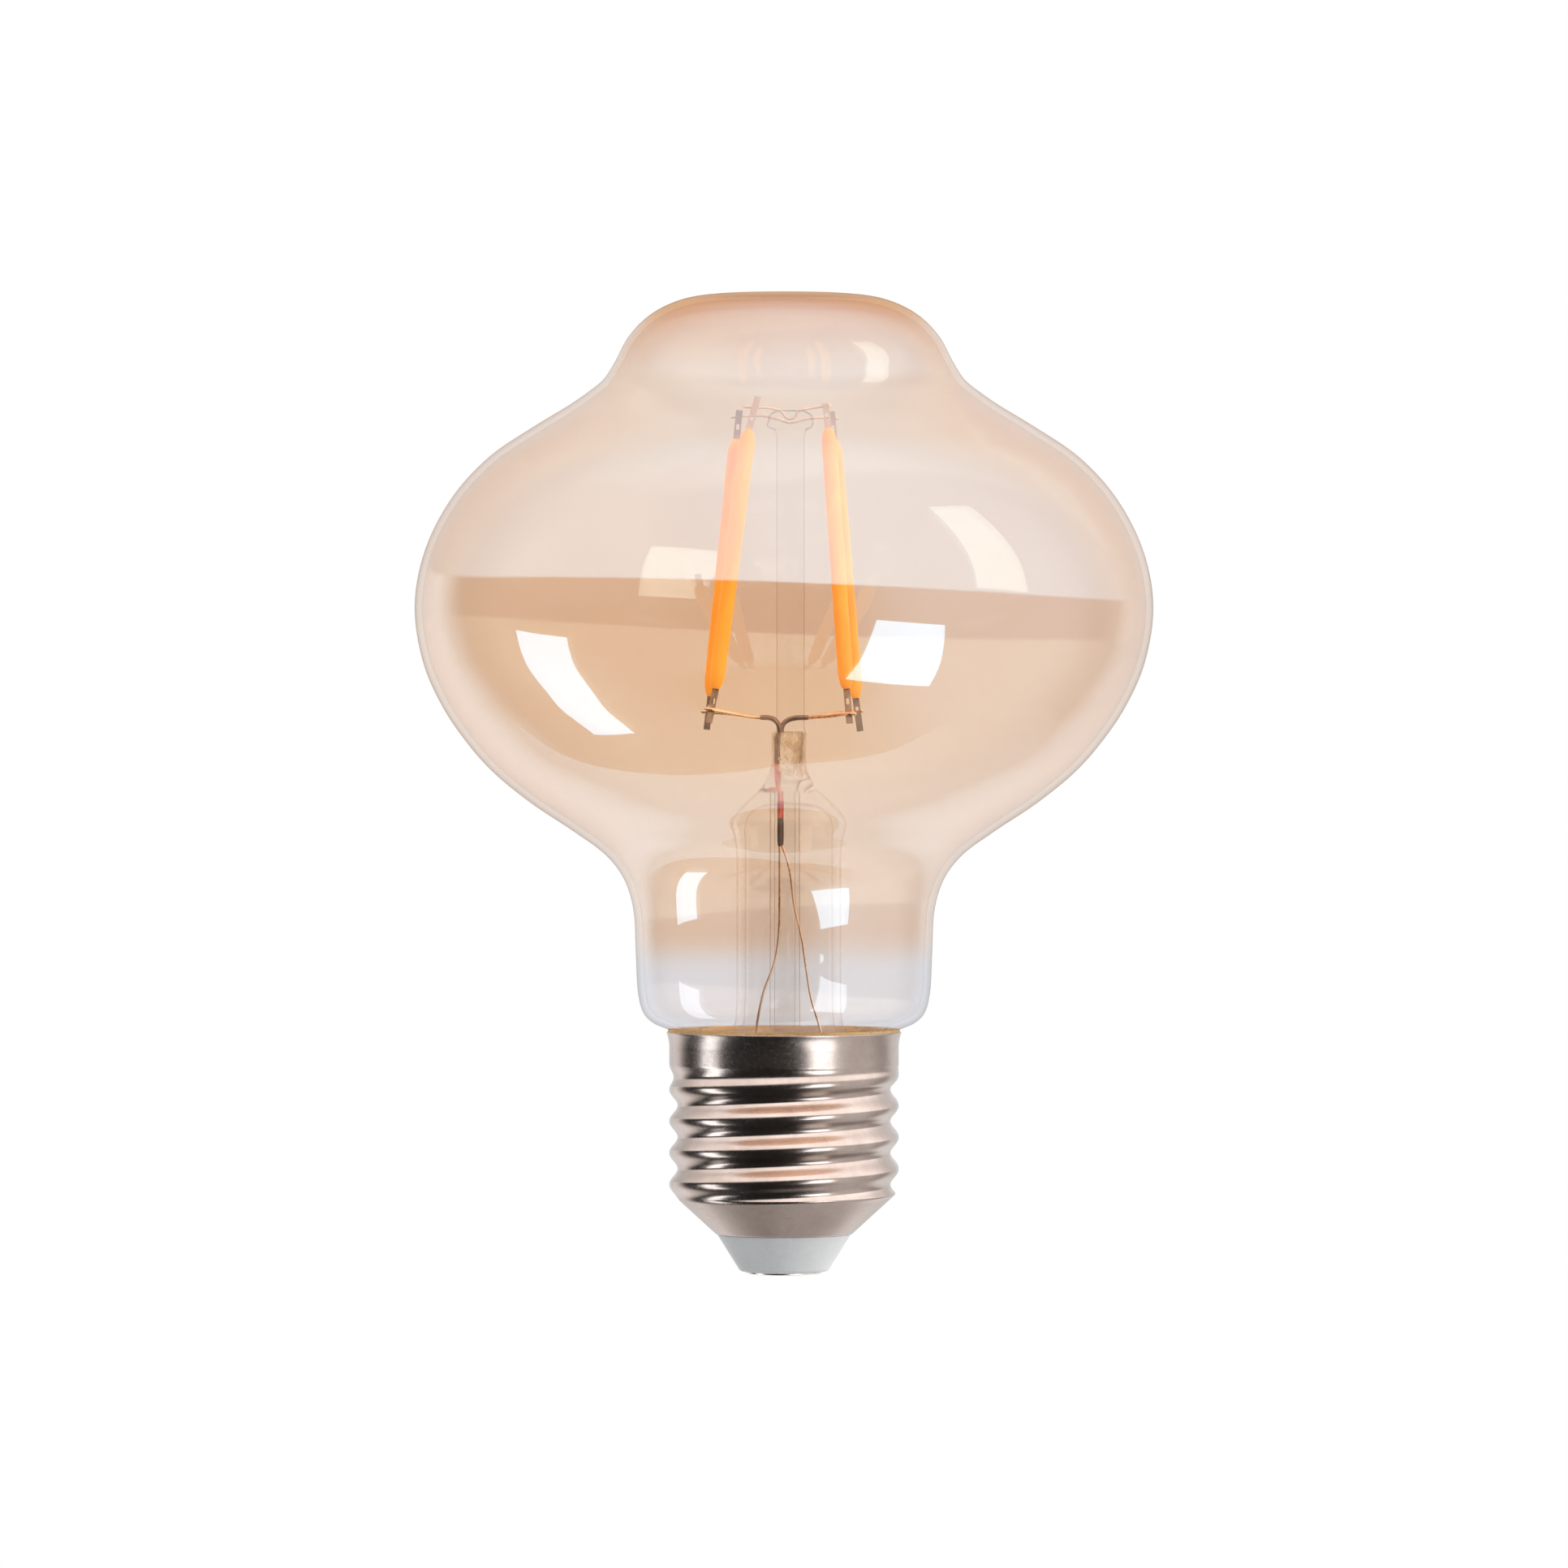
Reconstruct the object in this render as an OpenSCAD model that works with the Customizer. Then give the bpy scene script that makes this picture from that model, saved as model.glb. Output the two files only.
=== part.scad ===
// Decorative LED filament lamp: a lantern-shaped amber globe on an E27 screw cap.
// Millimetres, +Z up. The origin is the middle of the centre contact's face, on the lamp's axis.

/* [Globe] */
// Height from the centre contact to the flat crown
bulb_h = 112.3; // [111.5:0.1:113.5]
// Radius of the widest ring of the globe
globe_r = 42.3; // [41.5:0.1:43]
// Height of the widest ring above the contact
globe_z = 76.6; // [76:0.1:77.2]
// Radius of the crown, just below its rounded edge
crown_r = 18; // [17.2:0.1:18.6]
// Radius of the neck
neck_r = 17; // [16.6:0.1:17.4]
// Wall of the globe
glass_wall = 0.8; // [0.6:0.1:1]

/* [Screw cap] */
// Radius over the thread's crests
thread_r = 13.15; // [13.05:0.05:13.2]
// Depth of the rolled thread
thread_depth = 0.95; // [0.8:0.05:1]
// Rise of the thread in one turn
thread_pitch = 3.629; // [3.6:0.001:3.65]
// Thickness of the cap's sheet metal
sheet = 0.3; // [0.2:0.05:0.35]
// Radius of the centre contact's head
contact_r = 4.3; // [4:0.1:4.5]

/* [Glass mount] */
// Sideways offset of the flare and its press from the lamp's axis
stem_x = 0.55; // [0.4:0.05:0.6]
// Outer radius of the flare tube
flare_r = 6; // [5.9:0.05:6.1]
// Sideways offset of the support rod
rod_x = 0.75; // [0.6:0.05:0.8]
// Radius of the support rod
rod_r = 1.6; // [1.4:0.1:1.65]

/* [LED filaments] */
// Length of one filament's phosphor coat
filament_l = 29.9; // [29.6:0.1:30.1]
// Radius of the phosphor coat
coat_r = 0.88; // [0.8:0.02:0.9]
// Number of LED chips on one filament
chips = 26; // [20:1:28]
// Width of the metal end tabs
tab_w = 0.76; // [0.7:0.02:0.8]

/* [Driver board] */
// Width of the circuit board
board_w = 18; // [17.6:0.1:18.2]
// Height of the circuit board
board_h = 11.8; // [11.6:0.1:11.9]

/* [Hidden] */
$fn = 64;

// ---------- colours ----------
amber_glass = [0.93, 0.72, 0.45, 0.45];
clear_glass = [0.86, 0.88, 0.88, 0.5];
nickel = [0.72, 0.67, 0.62];
dark_nickel = [0.45, 0.38, 0.34];
copper = [0.80, 0.50, 0.33];
phosphor = [1.0, 0.62, 0.22];
plastic_dark = [0.12, 0.12, 0.13];
board_green = [0.10, 0.35, 0.22];

// ---------- smooth curves through a few chosen points ----------
// Centripetal Catmull-Rom: the curve passes through every point and never loops or overshoots.
function knot(t, a, b) = t + sqrt(max(norm(b - a), 0.001));
function blend(a, b, ta, tb, t) = (a * (tb - t) + b * (t - ta)) / (tb - ta);
function curve_point(a, b, c, d, f) =
    let (t1 = knot(0, a, b), t2 = knot(t1, b, c), t3 = knot(t2, c, d), t = t1 + (t2 - t1) * f,
         ab = blend(a, b, 0, t1, t), bc = blend(b, c, t1, t2, t), cd = blend(c, d, t2, t3, t),
         abc = blend(ab, bc, 0, t2, t), bcd = blend(bc, cd, t1, t3, t))
    blend(abc, bcd, t1, t2, t);
function smooth(p, steps) =
    let (n = len(p), q = concat([2 * p[0] - p[1]], p, [2 * p[n - 1] - p[n - 2]]))
    concat([for (i = [0 : n - 2]) each [for (k = [0 : steps - 1])
                curve_point(q[i], q[i + 1], q[i + 2], q[i + 3], k / steps)]],
           [p[n - 1]]);

// An outline moved to its right-hand side by w. Its first point is on the axis, so it moves
// straight along the axis.
function beside(p, w) =
    [for (i = [0 : len(p) - 1])
        let (d = p[min(i + 1, len(p) - 1)] - p[max(i - 1, 0)], u = d / norm(d))
        i == 0 ? p[0] - [0, w] : p[i] + w * [u[1], -u[0]]];
function backwards(p) = [for (i = [len(p) - 1 : -1 : 0]) p[i]];

// ---------- wires ----------
// Rings of a round wire around each point of its route, each square to the route.
function ring(c, along, r, sides) =
    let (side = abs(along[1]) > 0.9 ? [1, 0, 0] : [0, 1, 0],
         u = cross(side, along) / norm(cross(side, along)), v = cross(along, u))
    [for (k = [0 : sides - 1]) c + r * (cos(360 * k / sides) * u + sin(360 * k / sides) * v)];

module wire(route, r, sides = 10) {
    n = len(route);
    rings = [for (i = [0 : n - 1])
        let (d = route[min(i + 1, n - 1)] - route[max(i - 1, 0)])
        ring(route[i], d / norm(d), r, sides)];
    walls = [for (i = [0 : n - 2], k = [0 : sides - 1])
        let (a = i * sides + k, b = i * sides + (k + 1) % sides)
        [a, b, b + sides, a + sides]];
    caps = [[for (k = [sides - 1 : -1 : 0]) k],
            [for (k = [0 : sides - 1]) (n - 1) * sides + k]];
    polyhedron([for (one = rings) each one], concat(walls, caps), convexity = 6);
}

// ---------- globe ----------
// Outside of the glass, from the crown's middle to the end of the neck: [radius, height].
glass_points = [
    [0, bulb_h], [9.6, bulb_h - 0.2], [crown_r - 5.1, bulb_h - 1.05], [crown_r - 2.3, bulb_h - 2.65],
    [crown_r - 0.1, bulb_h - 5], [crown_r + 1.4, bulb_h - 7.8], [20.7, bulb_h - 9.8],
    [22.4, bulb_h - 11.2], [24.4, bulb_h - 12.6], [28.5, bulb_h - 15.1],
    [globe_r - 8.5, globe_z + 17], [globe_r - 4.3, globe_z + 12.4], [globe_r - 1.2, globe_z + 6.4],
    [globe_r, globe_z], [globe_r - 1, globe_z - 6.6], [globe_r - 3.2, globe_z - 11.6],
    [globe_r - 5.9, globe_z - 15.6], [33.4, 57.6], [29, 54], [23.9, 50.6],
    [neck_r + 3.4, 48], [neck_r + 1.4, 45.4], [neck_r + 0.3, 42], [neck_r, 37],
    [neck_r - 0.18, 33], [16.65, 31.7], [16.4, 30.6], [15.9, 29.6], [15, 28.8], [13.8, 28.25],
    [12.75, 27.8], [12.3, 27], [12.2, 25.8], [12.2, 24.2]];
neck_end_z = 24.2;
outside = smooth(glass_points, 4);

module glass_envelope() {
    color(amber_glass) rotate_extrude()
        polygon(concat(backwards(outside), beside(outside, glass_wall)));
}

// ---------- screw cap ----------
skirt_top = 27.8;
lip_z = 4.65;
lip_r = 7.85;
cone_slope = 1.095;
crest_z = 19.35;   // height of a crest on the +X side
fade_from = 21.6;  // the thread starts to fade into the skirt here
fade_to = 24;
rim_flare = 0.35;

function fade(z) = z < fade_from ? 1 : z > fade_to ? 0 : (fade_to - z) / (fade_to - fade_from);
function rim(z) = z < 26 ? 0 : rim_flare * pow((z - 26) / (skirt_top - 26), 2);
function thread_wave(z, a) = (1 - cos(360 * (z - crest_z) / thread_pitch - a)) / 2;
// Radius of the cap's outside at height z and angle a: the lower of the threaded wall and the cone.
function cap_r(z, a) =
    min(thread_r + rim(z) - thread_depth * fade(z) * thread_wave(z, a),
        lip_r + cone_slope * (z - lip_z));
function cap_wall(z, a) = z < 9 ? sheet * sqrt(1 + cone_slope * cone_slope) : sheet;

cap_levels = concat([lip_z, 5.6, 6.6, 7.6, 8.4],
                    [for (i = [0 : 42]) 8.9 + 0.36 * i],
                    [25, 26, 26.8, 27.4, skirt_top]);

module screw_shell() {
    around = 52;
    m = len(cap_levels);
    skin = function (i, inner) [for (k = [0 : around - 1])
        let (a = 360 * k / around, z = cap_levels[i], r = cap_r(z, a) - inner * cap_wall(z, a))
        [r * cos(a), r * sin(a), z]];
    points = concat([for (i = [0 : m - 1]) each skin(i, 0)], [for (i = [0 : m - 1]) each skin(i, 1)]);
    inside = m * around;
    side = function (start, flip) [for (i = [0 : m - 2], k = [0 : around - 1], half = [0, 1])
        let (a = start + i * around + k, b = start + i * around + (k + 1) % around,
             t = half == 0 ? [a, a + around, b] : [b, a + around, b + around])
        flip ? [t[0], t[2], t[1]] : t];
    ends = [for (k = [0 : around - 1], top = [0, 1])
        let (row = top * (m - 1) * around, a = row + k, b = row + (k + 1) % around,
             f = [a, b, inside + b, inside + a])
        top == 1 ? backwards(f) : f];
    color(nickel) polyhedron(points, concat(side(0, false), side(inside, true), ends), convexity = 10);
}

// The cement fills the ring between the neck and the cap's skirt.
cement_r = 12.72;
module basing_cement() {
    neck = [for (p = outside) if (p[1] < 28.1 && p[1] > neck_end_z + 0.1) p];
    color([0.62, 0.45, 0.20]) rotate_extrude()
        polygon(concat(neck, [[cement_r, neck[len(neck) - 1][1]], [cement_r, 26.4], [13.05, 27.6]]));
}

insulator_foot = 0.3;
pin_r = 1.5;
module cap_insulator() {
    color([0.80, 0.83, 0.84]) rotate_extrude() polygon([
        [pin_r, insulator_foot], [4.6, insulator_foot], [5.1, 0.48], [5.34, 0.85],
        [7.66, lip_z - 0.05], [7.34, lip_z - 0.05], [7.34, lip_z + 0.1], [8.85, 6.1],
        [8.85, 6.7], [4.2, 6.7], [4.2, 6.2], [pin_r, 6.2]]);
}

module centre_contact() {
    edge = 0.12;
    color(nickel) rotate_extrude() polygon([
        [0, 0], [contact_r - edge, 0], [contact_r, edge], [contact_r, insulator_foot],
        [pin_r, insulator_foot], [pin_r, 6.9], [pin_r - 0.3, 7.2], [0, 7.2]]);
}

// ---------- glass mount ----------
press_top = 62.2;
press_half_x = 2;
press_half_y = 4.1;
flange_r = 12.05;
cavity_top = 54.1;
exhaust_top = 56.6;
exhaust_x = 0.1;
exhaust_r = 1.72;
lead_r = 0.33;
seal_r = 0.25;
left_lead = [-0.5, -2.4];
right_lead = [-0.3, 2.4];
seal_top = 58.6;
seal_foot = 52.3;
sleeve_foot = 49.3;

// Round tube, open flange at its foot, swollen and closed at its top, then pinched flat along X.
module flare_body(tube_r, half_x, half_y, dome_z, top_z, foot) {
    swell = tube_r + 0.6;
    dome = smooth([[tube_r, dome_z - 5], [tube_r + 0.1, dome_z - 3], [swell, dome_z - 0.6],
                   [swell - 0.2, dome_z + 0.5], [half_y + 1, dome_z + 2], [half_y + 0.2, dome_z + 3.4],
                   [half_y, dome_z + 4.8], [half_y, top_z - 0.8], [half_y - 0.5, top_z - 0.15],
                   [half_y - 1.2, top_z]], 3);
    pinch = smooth([[swell + 0.6, dome_z - 2], [swell + 0.1, dome_z - 0.4], [swell - 0.5, dome_z + 0.6],
                    [half_x + 2.9, dome_z + 1.9], [half_x + 1.5, dome_z + 3.2], [half_x + 0.5, dome_z + 4.8],
                    [half_x, dome_z + 6.4], [half_x, top_z - 0.5], [half_x - 0.15, top_z - 0.15],
                    [half_x - 0.4, top_z]], 3);
    intersection() {
        rotate_extrude() polygon(concat(foot, dome, [[0, top_z]]));
        rotate([90, 0, 0]) linear_extrude(40, center = true)
            polygon(concat([[-20, 0], [20, 0], [20, dome_z - 2]], pinch,
                           [for (p = backwards(pinch)) [-p[0], p[1]]], [[-20, dome_z - 2]]));
    }
}

module stem_flare() {
    wall = 0.95;
    top_skin = smooth([[10.9, neck_end_z], [9.6, 24.35], [8.1, 25.1], [6.9, 26.7], [6.2, 28.8],
                       [flare_r, 31.5]], 3);
    under_skin = smooth([[10.9, neck_end_z - 1], [9.2, 23.4], [7.2, 24.5], [5.9, 26.4], [5.25, 28.8],
                         [flare_r - wall, 31.5]], 3);
    color(clear_glass) difference() {
        translate([stem_x, 0, 0]) difference() {
            flare_body(flare_r, press_half_x, press_half_y, 52.2, press_top,
                       concat([[0, neck_end_z - 1], [flange_r, neck_end_z - 1], [flange_r, neck_end_z]],
                              top_skin));
            rotate_extrude() polygon(concat([[0, 20], [10.9, 20]], under_skin,
                smooth([[flare_r - wall, 49.6], [flare_r - wall + 0.05, 51], [4.85, 52.3], [4.1, 53.2],
                        [2.7, 53.85], [0, cavity_top]], 3)));
        }
        translate([exhaust_x, 0, 40]) cylinder(h = exhaust_top - 40, r = exhaust_r);
        for (at = [left_lead, right_lead]) {
            translate([at[0], at[1], 40]) cylinder(h = seal_top - 40, r = seal_r);
            translate([at[0], at[1], seal_top]) cylinder(h = 6, r = lead_r + 0.01);
        }
    }
}

module exhaust_tube() {
    tip = 21.5;
    bore = 1.2;
    color(clear_glass) translate([exhaust_x, 0, 0]) rotate_extrude() polygon(concat(
        smooth([[0, tip], [0.6, tip + 0.15], [1.25, tip + 0.8], [exhaust_r, tip + 2.4],
                [exhaust_r, tip + 4]], 3),
        [[exhaust_r, exhaust_top], [bore, exhaust_top]],
        smooth([[bore, tip + 4], [bore, tip + 2.8], [0.8, tip + 1.7], [0, tip + 1.2]], 3)));
}

button_r = 2.6;
button_low = 96.7;
button_top = 98.95;
module support_rod() {
    button = smooth([[rod_r, button_low - 0.6], [rod_r + 0.25, button_low], [button_r - 0.1, button_low + 0.4],
                     [button_r, button_low + 1.1], [button_r - 0.15, button_top - 0.5],
                     [button_r - 0.8, button_top - 0.05], [0, button_top]], 3);
    color(clear_glass) difference() {
        translate([rod_x, 0, 0]) rotate_extrude()
            polygon(concat([[0, press_top], [rod_r + 0.1, press_top], [rod_r, press_top + 0.6]], button));
        wire(anchor_front, anchor_r + 0.02, 8);
        wire(anchor_back, anchor_r + 0.02, 8);
    }
}

// ---------- LED filaments ----------
// Where each phosphor coat starts and the point it leans towards, and how its tabs are bent.
// Index 0 front left, 1 front right, 2 back left, 3 back right.
feet = [[-7.8, -3.2, 67.1], [7.15, -3.2, 67.1], [-8.45, 6, 66.3], [8.25, 6, 66.1]];
heads = [[-4, -1.3, 97], [5.05, -1.3, 97], [-5.45, 1.3, 95.7], [5.75, 1.3, 95.4]];
top_bend = [8, -2, 0, 0];
foot_bend = [-4, 1, -1, 3];
strip_t = 0.3;
strip_w = 0.7;
tab_t = 0.16;
tab_out = 4;
top_tab_out = [4, 2.9, 3.4, 3.4];
tab_in = 1.5;
end_taper = 1.7;
wire_r = 0.25;
anchor_r = 0.2;

function lean(i) = (heads[i] - feet[i]) / norm(heads[i] - feet[i]);
function on_filament(i, s) = feet[i] + lean(i) * s;

// Places a child, drawn along +Z from the origin, on filament i.
module on(i) {
    d = lean(i);
    translate(feet[i]) rotate([-asin(d[1]), atan2(d[0], d[2]), 0]) children();
}

module strip_body() {
    translate([-strip_w / 2, -strip_t / 2, 0.9]) cube([strip_w, strip_t, filament_l - 1.8]);
}

module chip_row() {
    chip = [0.42, 0.12, 0.74];
    pitch = (filament_l - 4.4) / (chips - 1);
    for (k = [0 : chips - 1])
        translate([-chip[0] / 2, -strip_t / 2 - chip[1], 2.2 + k * pitch - chip[2] / 2]) cube(chip);
}

// A flat tab lapped behind the strip's end, with the small oval hole that locks it in the mould.
module tab(end_z, up, bend, out = tab_out) {
    hole_r = 0.2;
    translate([0, strip_t / 2, end_z]) mirror([0, 0, up ? 0 : 1]) {
        translate([-strip_w / 2, 0, -tab_in]) cube([strip_w, tab_t, tab_in]);
        rotate([0, bend, 0]) difference() {
            translate([-tab_w / 2, 0, -0.05]) cube([tab_w, tab_t, out + 0.05]);
            for (s = [1.3, 1.6]) translate([0, -0.1, s]) rotate([-90, 0, 0]) cylinder(h = 1, r = hole_r, $fn = 24);
        }
    }
}
module top_tab(i) {
    color(dark_nickel) on(i) tab(filament_l, true, top_bend[i], top_tab_out[i]);
}
module foot_tab(i) {
    color(dark_nickel) on(i) tab(0, false, foot_bend[i]);
}

module coat(i) {
    half = smooth([[0.42, 0], [0.62, 0.35], [0.8, 1], [coat_r, end_taper]], 3);
    shape = concat([[0, 0]], half, [for (p = backwards(half)) [p[0], filament_l - p[1]]], [[0, filament_l]]);
    color(phosphor) difference() {
        on(i) rotate_extrude($fn = 40) polygon(shape);
        on(i) strip_body();
        on(i) chip_row();
        on(i) tab(filament_l, true, top_bend[i]);
        on(i) tab(0, false, foot_bend[i]);
    }
}
module strip(i) { color([0.85, 0.85, 0.82]) on(i) strip_body(); }
module chip_set(i) { color([0.55, 0.75, 0.95]) on(i) chip_row(); }

// ---------- wires of the mount ----------
// Each anchor wire holds a left and a right tab and is fused into the glass button between them.
function tab_point(i, s, bend, side) = on_filament(i, s) + [sin(bend) * 2.5, side, 0];
front_left_top = tab_point(0, filament_l + 2.6, top_bend[0], 0.55);
front_right_top = tab_point(1, filament_l + 2.6, top_bend[1], 0.55);
back_left_top = tab_point(2, filament_l + 2.7, top_bend[2], 0.55);
back_right_top = tab_point(3, filament_l + 2.7, top_bend[3], 0.55);
anchor_front = smooth([front_left_top + [-1.2, 0, 0.12], front_left_top, [-1.7, -0.5, 99.25],
                       [-0.3, -0.3, 98.85], [0.1, -0.25, 98.3], [0.75, -0.2, 98], [1.3, -0.25, 98.3],
                       [1.6, -0.3, 98.85], [3, -0.5, 99.2], front_right_top,
                       front_right_top + [0.25, 0, 0.02]], 3);
anchor_back = smooth([back_left_top + [-0.8, 0, -0.1], back_left_top, [-2.6, 1.3, 98.4],
                      [-1, 0.9, 98.1], [0.7, 0.75, 97.6], [2.4, 0.9, 98], [3.6, 1.3, 98.15],
                      back_right_top, back_right_top + [0.7, 0, -0.1]], 3);

// The weld of a foot tab on its branch wire: s below the coat, the wire in front of or behind it.
front_left_weld = on_filament(0, -2.4) + [-0.12, 0.23 - 0.33, 0];
front_right_weld = on_filament(1, -2.9) + [0, 0.23 - 0.33, 0];
back_left_weld = on_filament(2, -1.9) + [0, 0.23 + 0.33, 0];
back_right_weld = on_filament(3, -1.6) + [0, 0.23 + 0.33, 0];
left_lead_end = [-2.5, -0.95, 63.8];
right_lead_end = [2.65, 1.9, 63.8];
left_fork = left_lead_end + [-0.26, 0.1, 0];
right_fork = right_lead_end + [0.27, -0.07, 0];
branch_left = smooth([front_left_weld + [-0.7, 0, 0.06], front_left_weld, [-5.2, -2.1, 64.15],
                      left_fork + [-0.35, -0.3, 0.02], left_fork, left_fork + [-0.35, 0.4, 0.02],
                      [-5.4, 2.7, 64.1], back_left_weld, back_left_weld + [-0.8, 0.3, 0.05]], 3);
branch_right = smooth([front_right_weld + [0.75, 0, 0], front_right_weld, [5.2, -0.9, 63.95],
                       right_fork + [0.35, -0.5, 0.02], right_fork, right_fork + [0.45, 0.35, 0.02],
                       [5.6, 4.1, 64.2], back_right_weld, back_right_weld + [0.6, 0.1, 0.05]], 3);
lead_left = concat([[left_lead[0], left_lead[1], seal_top]],
    smooth([[left_lead[0], left_lead[1], press_top], [-0.53, -2.38, 62.65], [-0.72, -2.25, 63.15],
            [-1.12, -1.95, 63.55], [-1.7, -1.5, 63.77], left_lead_end], 3));
lead_right = concat([[right_lead[0], right_lead[1], seal_top]],
    smooth([[right_lead[0], right_lead[1], press_top], [-0.26, 2.4, 62.65], [-0.02, 2.4, 63.15],
            [0.55, 2.37, 63.55], [1.4, 2.22, 63.76], right_lead_end], 3));
outer_left = smooth([[left_lead[0], left_lead[1], sleeve_foot], [-0.5, -2.4, 44.4],
                     [-0.6, -2.45, 39], [-1.1, -2.4, 35.8], [-2.3, -2.2, 32.6], [-3.1, -2.1, 28.8],
                     [-3.7, -1.9, 24.5], [-4.3, -1.2, 21.6], [-4.6, -0.7, 19.8]], 3);
outer_right = smooth([[right_lead[0], right_lead[1], sleeve_foot], [0.6, 2.4, 46.4],
                      [1.2, 2.4, 42], [2, 2.35, 38.5], [2.5, 2.3, 35.2], [3.1, 2.2, 31.6],
                      [4, 2.1, 28.6], [5, 1.9, 24.6], [6, 1.2, 21.6], [6.2, 0.75, 20]], 3);

module anchor_wire_front() { color(dark_nickel) wire(anchor_front, anchor_r, 8); }
module anchor_wire_back() { color(dark_nickel) wire(anchor_back, anchor_r, 8); }
module branch_wire_left() { color(copper) wire(branch_left, wire_r, 8); }
module branch_wire_right() { color(copper) wire(branch_right, wire_r, 8); }
module inner_lead_left() { color(dark_nickel) wire(lead_left, lead_r); }
module inner_lead_right() { color(dark_nickel) wire(lead_right, lead_r); }
module outer_lead_left() { color(copper) wire(outer_left, 0.14, 6); }
module outer_lead_right() { color(copper) wire(outer_right, 0.14, 6); }
module seal_wire(at) {
    color([0.72, 0.25, 0.20]) translate([at[0], at[1], seal_foot]) cylinder(h = seal_top - seal_foot, r = seal_r);
}
module lead_sleeve(at) {
    color(dark_nickel) translate([at[0], at[1], sleeve_foot]) cylinder(h = seal_foot - sleeve_foot, r = 0.31);
}

// ---------- driver electronics in the cap ----------
board_z = 9;
board_t = 1;
front = -board_t / 2;
back = board_t / 2;

module driver_board() {
    cut = 1.6;
    color(board_green) rotate([90, 0, 0]) linear_extrude(board_t, center = true)
        polygon([[-board_w / 2 + cut, board_z], [board_w / 2 - cut, board_z],
                 [board_w / 2, board_z + cut], [board_w / 2, board_z + board_h - 0.8],
                 [board_w / 2 - 0.8, board_z + board_h], [-board_w / 2 + 0.8, board_z + board_h],
                 [-board_w / 2, board_z + board_h - 0.8], [-board_w / 2, board_z + cut]]);
}

// A moulded chip lying on the board, with a row of bent legs at each side.
// Its length runs along Z and its thickness along +Y, from the board's face.
module leaded_chip(w, l, h, legs, pitch) {
    leg = [0.7, 0.25, 0.45];
    translate([-w / 2, 0.12, -l / 2]) cube([w, h - 0.12, l]);
    for (side = [-1, 1], k = [0 : legs - 1])
        translate([side * (w / 2 + leg[0] / 2 - 0.1) - leg[0] / 2, 0, (k - (legs - 1) / 2) * pitch - leg[2] / 2]) {
            cube(leg);
            translate([side > 0 ? 0 : leg[0] - 0.25, 0, 0]) cube([0.25, h / 2 + 0.2, leg[2]]);
        }
}
module bridge_rectifier() {
    color(plastic_dark) translate([4.6, front, 18.1]) mirror([0, 1, 0]) leaded_chip(3.9, 4.4, 1.6, 2, 2.54);
}
module driver_chip() {
    color(plastic_dark) translate([3.4, back, 17.6]) leaded_chip(3.9, 4.9, 1.6, 4, 1.27);
}

can_r = 3.3;
can_l = 9.4;
module smoothing_capacitor() {
    can = smooth([[can_r - 0.5, 0], [can_r - 0.1, 0.15], [can_r, 0.6], [can_r, 1.1],
                  [can_r - 0.3, 1.5], [can_r, 1.9], [can_r, 2.4]], 3);
    translate([-3.6, front - 0.6 - can_r, 9.6]) {
        color([0.16, 0.18, 0.30]) rotate_extrude()
            polygon(concat([[0, 0]], can, [[can_r, can_l - 0.4], [can_r - 0.4, can_l], [0, can_l]]));
        color(nickel) for (x = [-1.2, 1.2]) translate([x, 0, -0.5]) {
            cylinder(h = 0.5, r = 0.25, $fn = 24);
            translate([-0.25, 0, 0]) cube([0.5, can_r + 0.6, 0.4]);
        }
    }
}

coil_at = [4.4, front - 0.2, 12.6];
module inductor_core() {
    color([0.20, 0.19, 0.18]) translate(coil_at) rotate([90, 0, 0]) rotate_extrude()
        polygon([[0, 0], [3, 0], [3, 0.9], [1.3, 0.9], [1.3, 4.3], [3, 4.3], [3, 5.2], [0, 5.2]]);
    color(nickel) for (x = [-2, 2]) translate(coil_at + [x - 0.25, 0, -0.25]) cube([0.5, 0.2, 0.5]);
}
module inductor_winding() {
    color(copper) translate(coil_at) rotate([90, 0, 0]) rotate_extrude()
        polygon(concat([[1.3, 0.9]], [for (k = [0 : 16]) [2.6 + 0.08 * (k % 2), 0.9 + 0.2125 * k]], [[1.3, 4.3]]));
}

fuse_at = [4.6, back + 1.5, 11.2];
module fuse_resistor() {
    bulge = smooth([[1, -2.9], [1.18, -2.4], [1.1, -1.7], [1, -1], [1, 1], [1.1, 1.7], [1.18, 2.4], [1, 2.9]], 3);
    color([0.55, 0.70, 0.75]) translate(fuse_at) rotate([0, 90, 0]) rotate_extrude()
        polygon(concat([[0, -2.9]], bulge, [[0, 2.9]]));
    color(nickel) for (s = [-1, 1]) translate(fuse_at + [s * 3.3, 0, 0]) {
        rotate([0, 90, 0]) cylinder(h = 0.8, r = 0.28, center = true, $fn = 24);
        translate([s * 0.15 - 0.25, -1.5, -0.25]) cube([0.5, 1.5, 0.5]);
    }
}

chip_spots_front = [[8.1, 10.4], [8.1, 13.2], [8.1, 16], [8.1, 18.8]];
chip_spots_back = [[7.9, 14.6], [7.9, 17.2], [1.2, 13.6]];
module chip_parts() {
    size = [0.85, 0.5, 1.6];
    color([0.55, 0.45, 0.35]) {
        for (p = chip_spots_front) translate([p[0] - size[0] / 2, front - size[1], p[1] - size[2] / 2]) cube(size);
        for (p = chip_spots_back) translate([p[0] - size[0] / 2, back, p[1] - size[2] / 2]) cube(size);
    }
}

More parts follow.
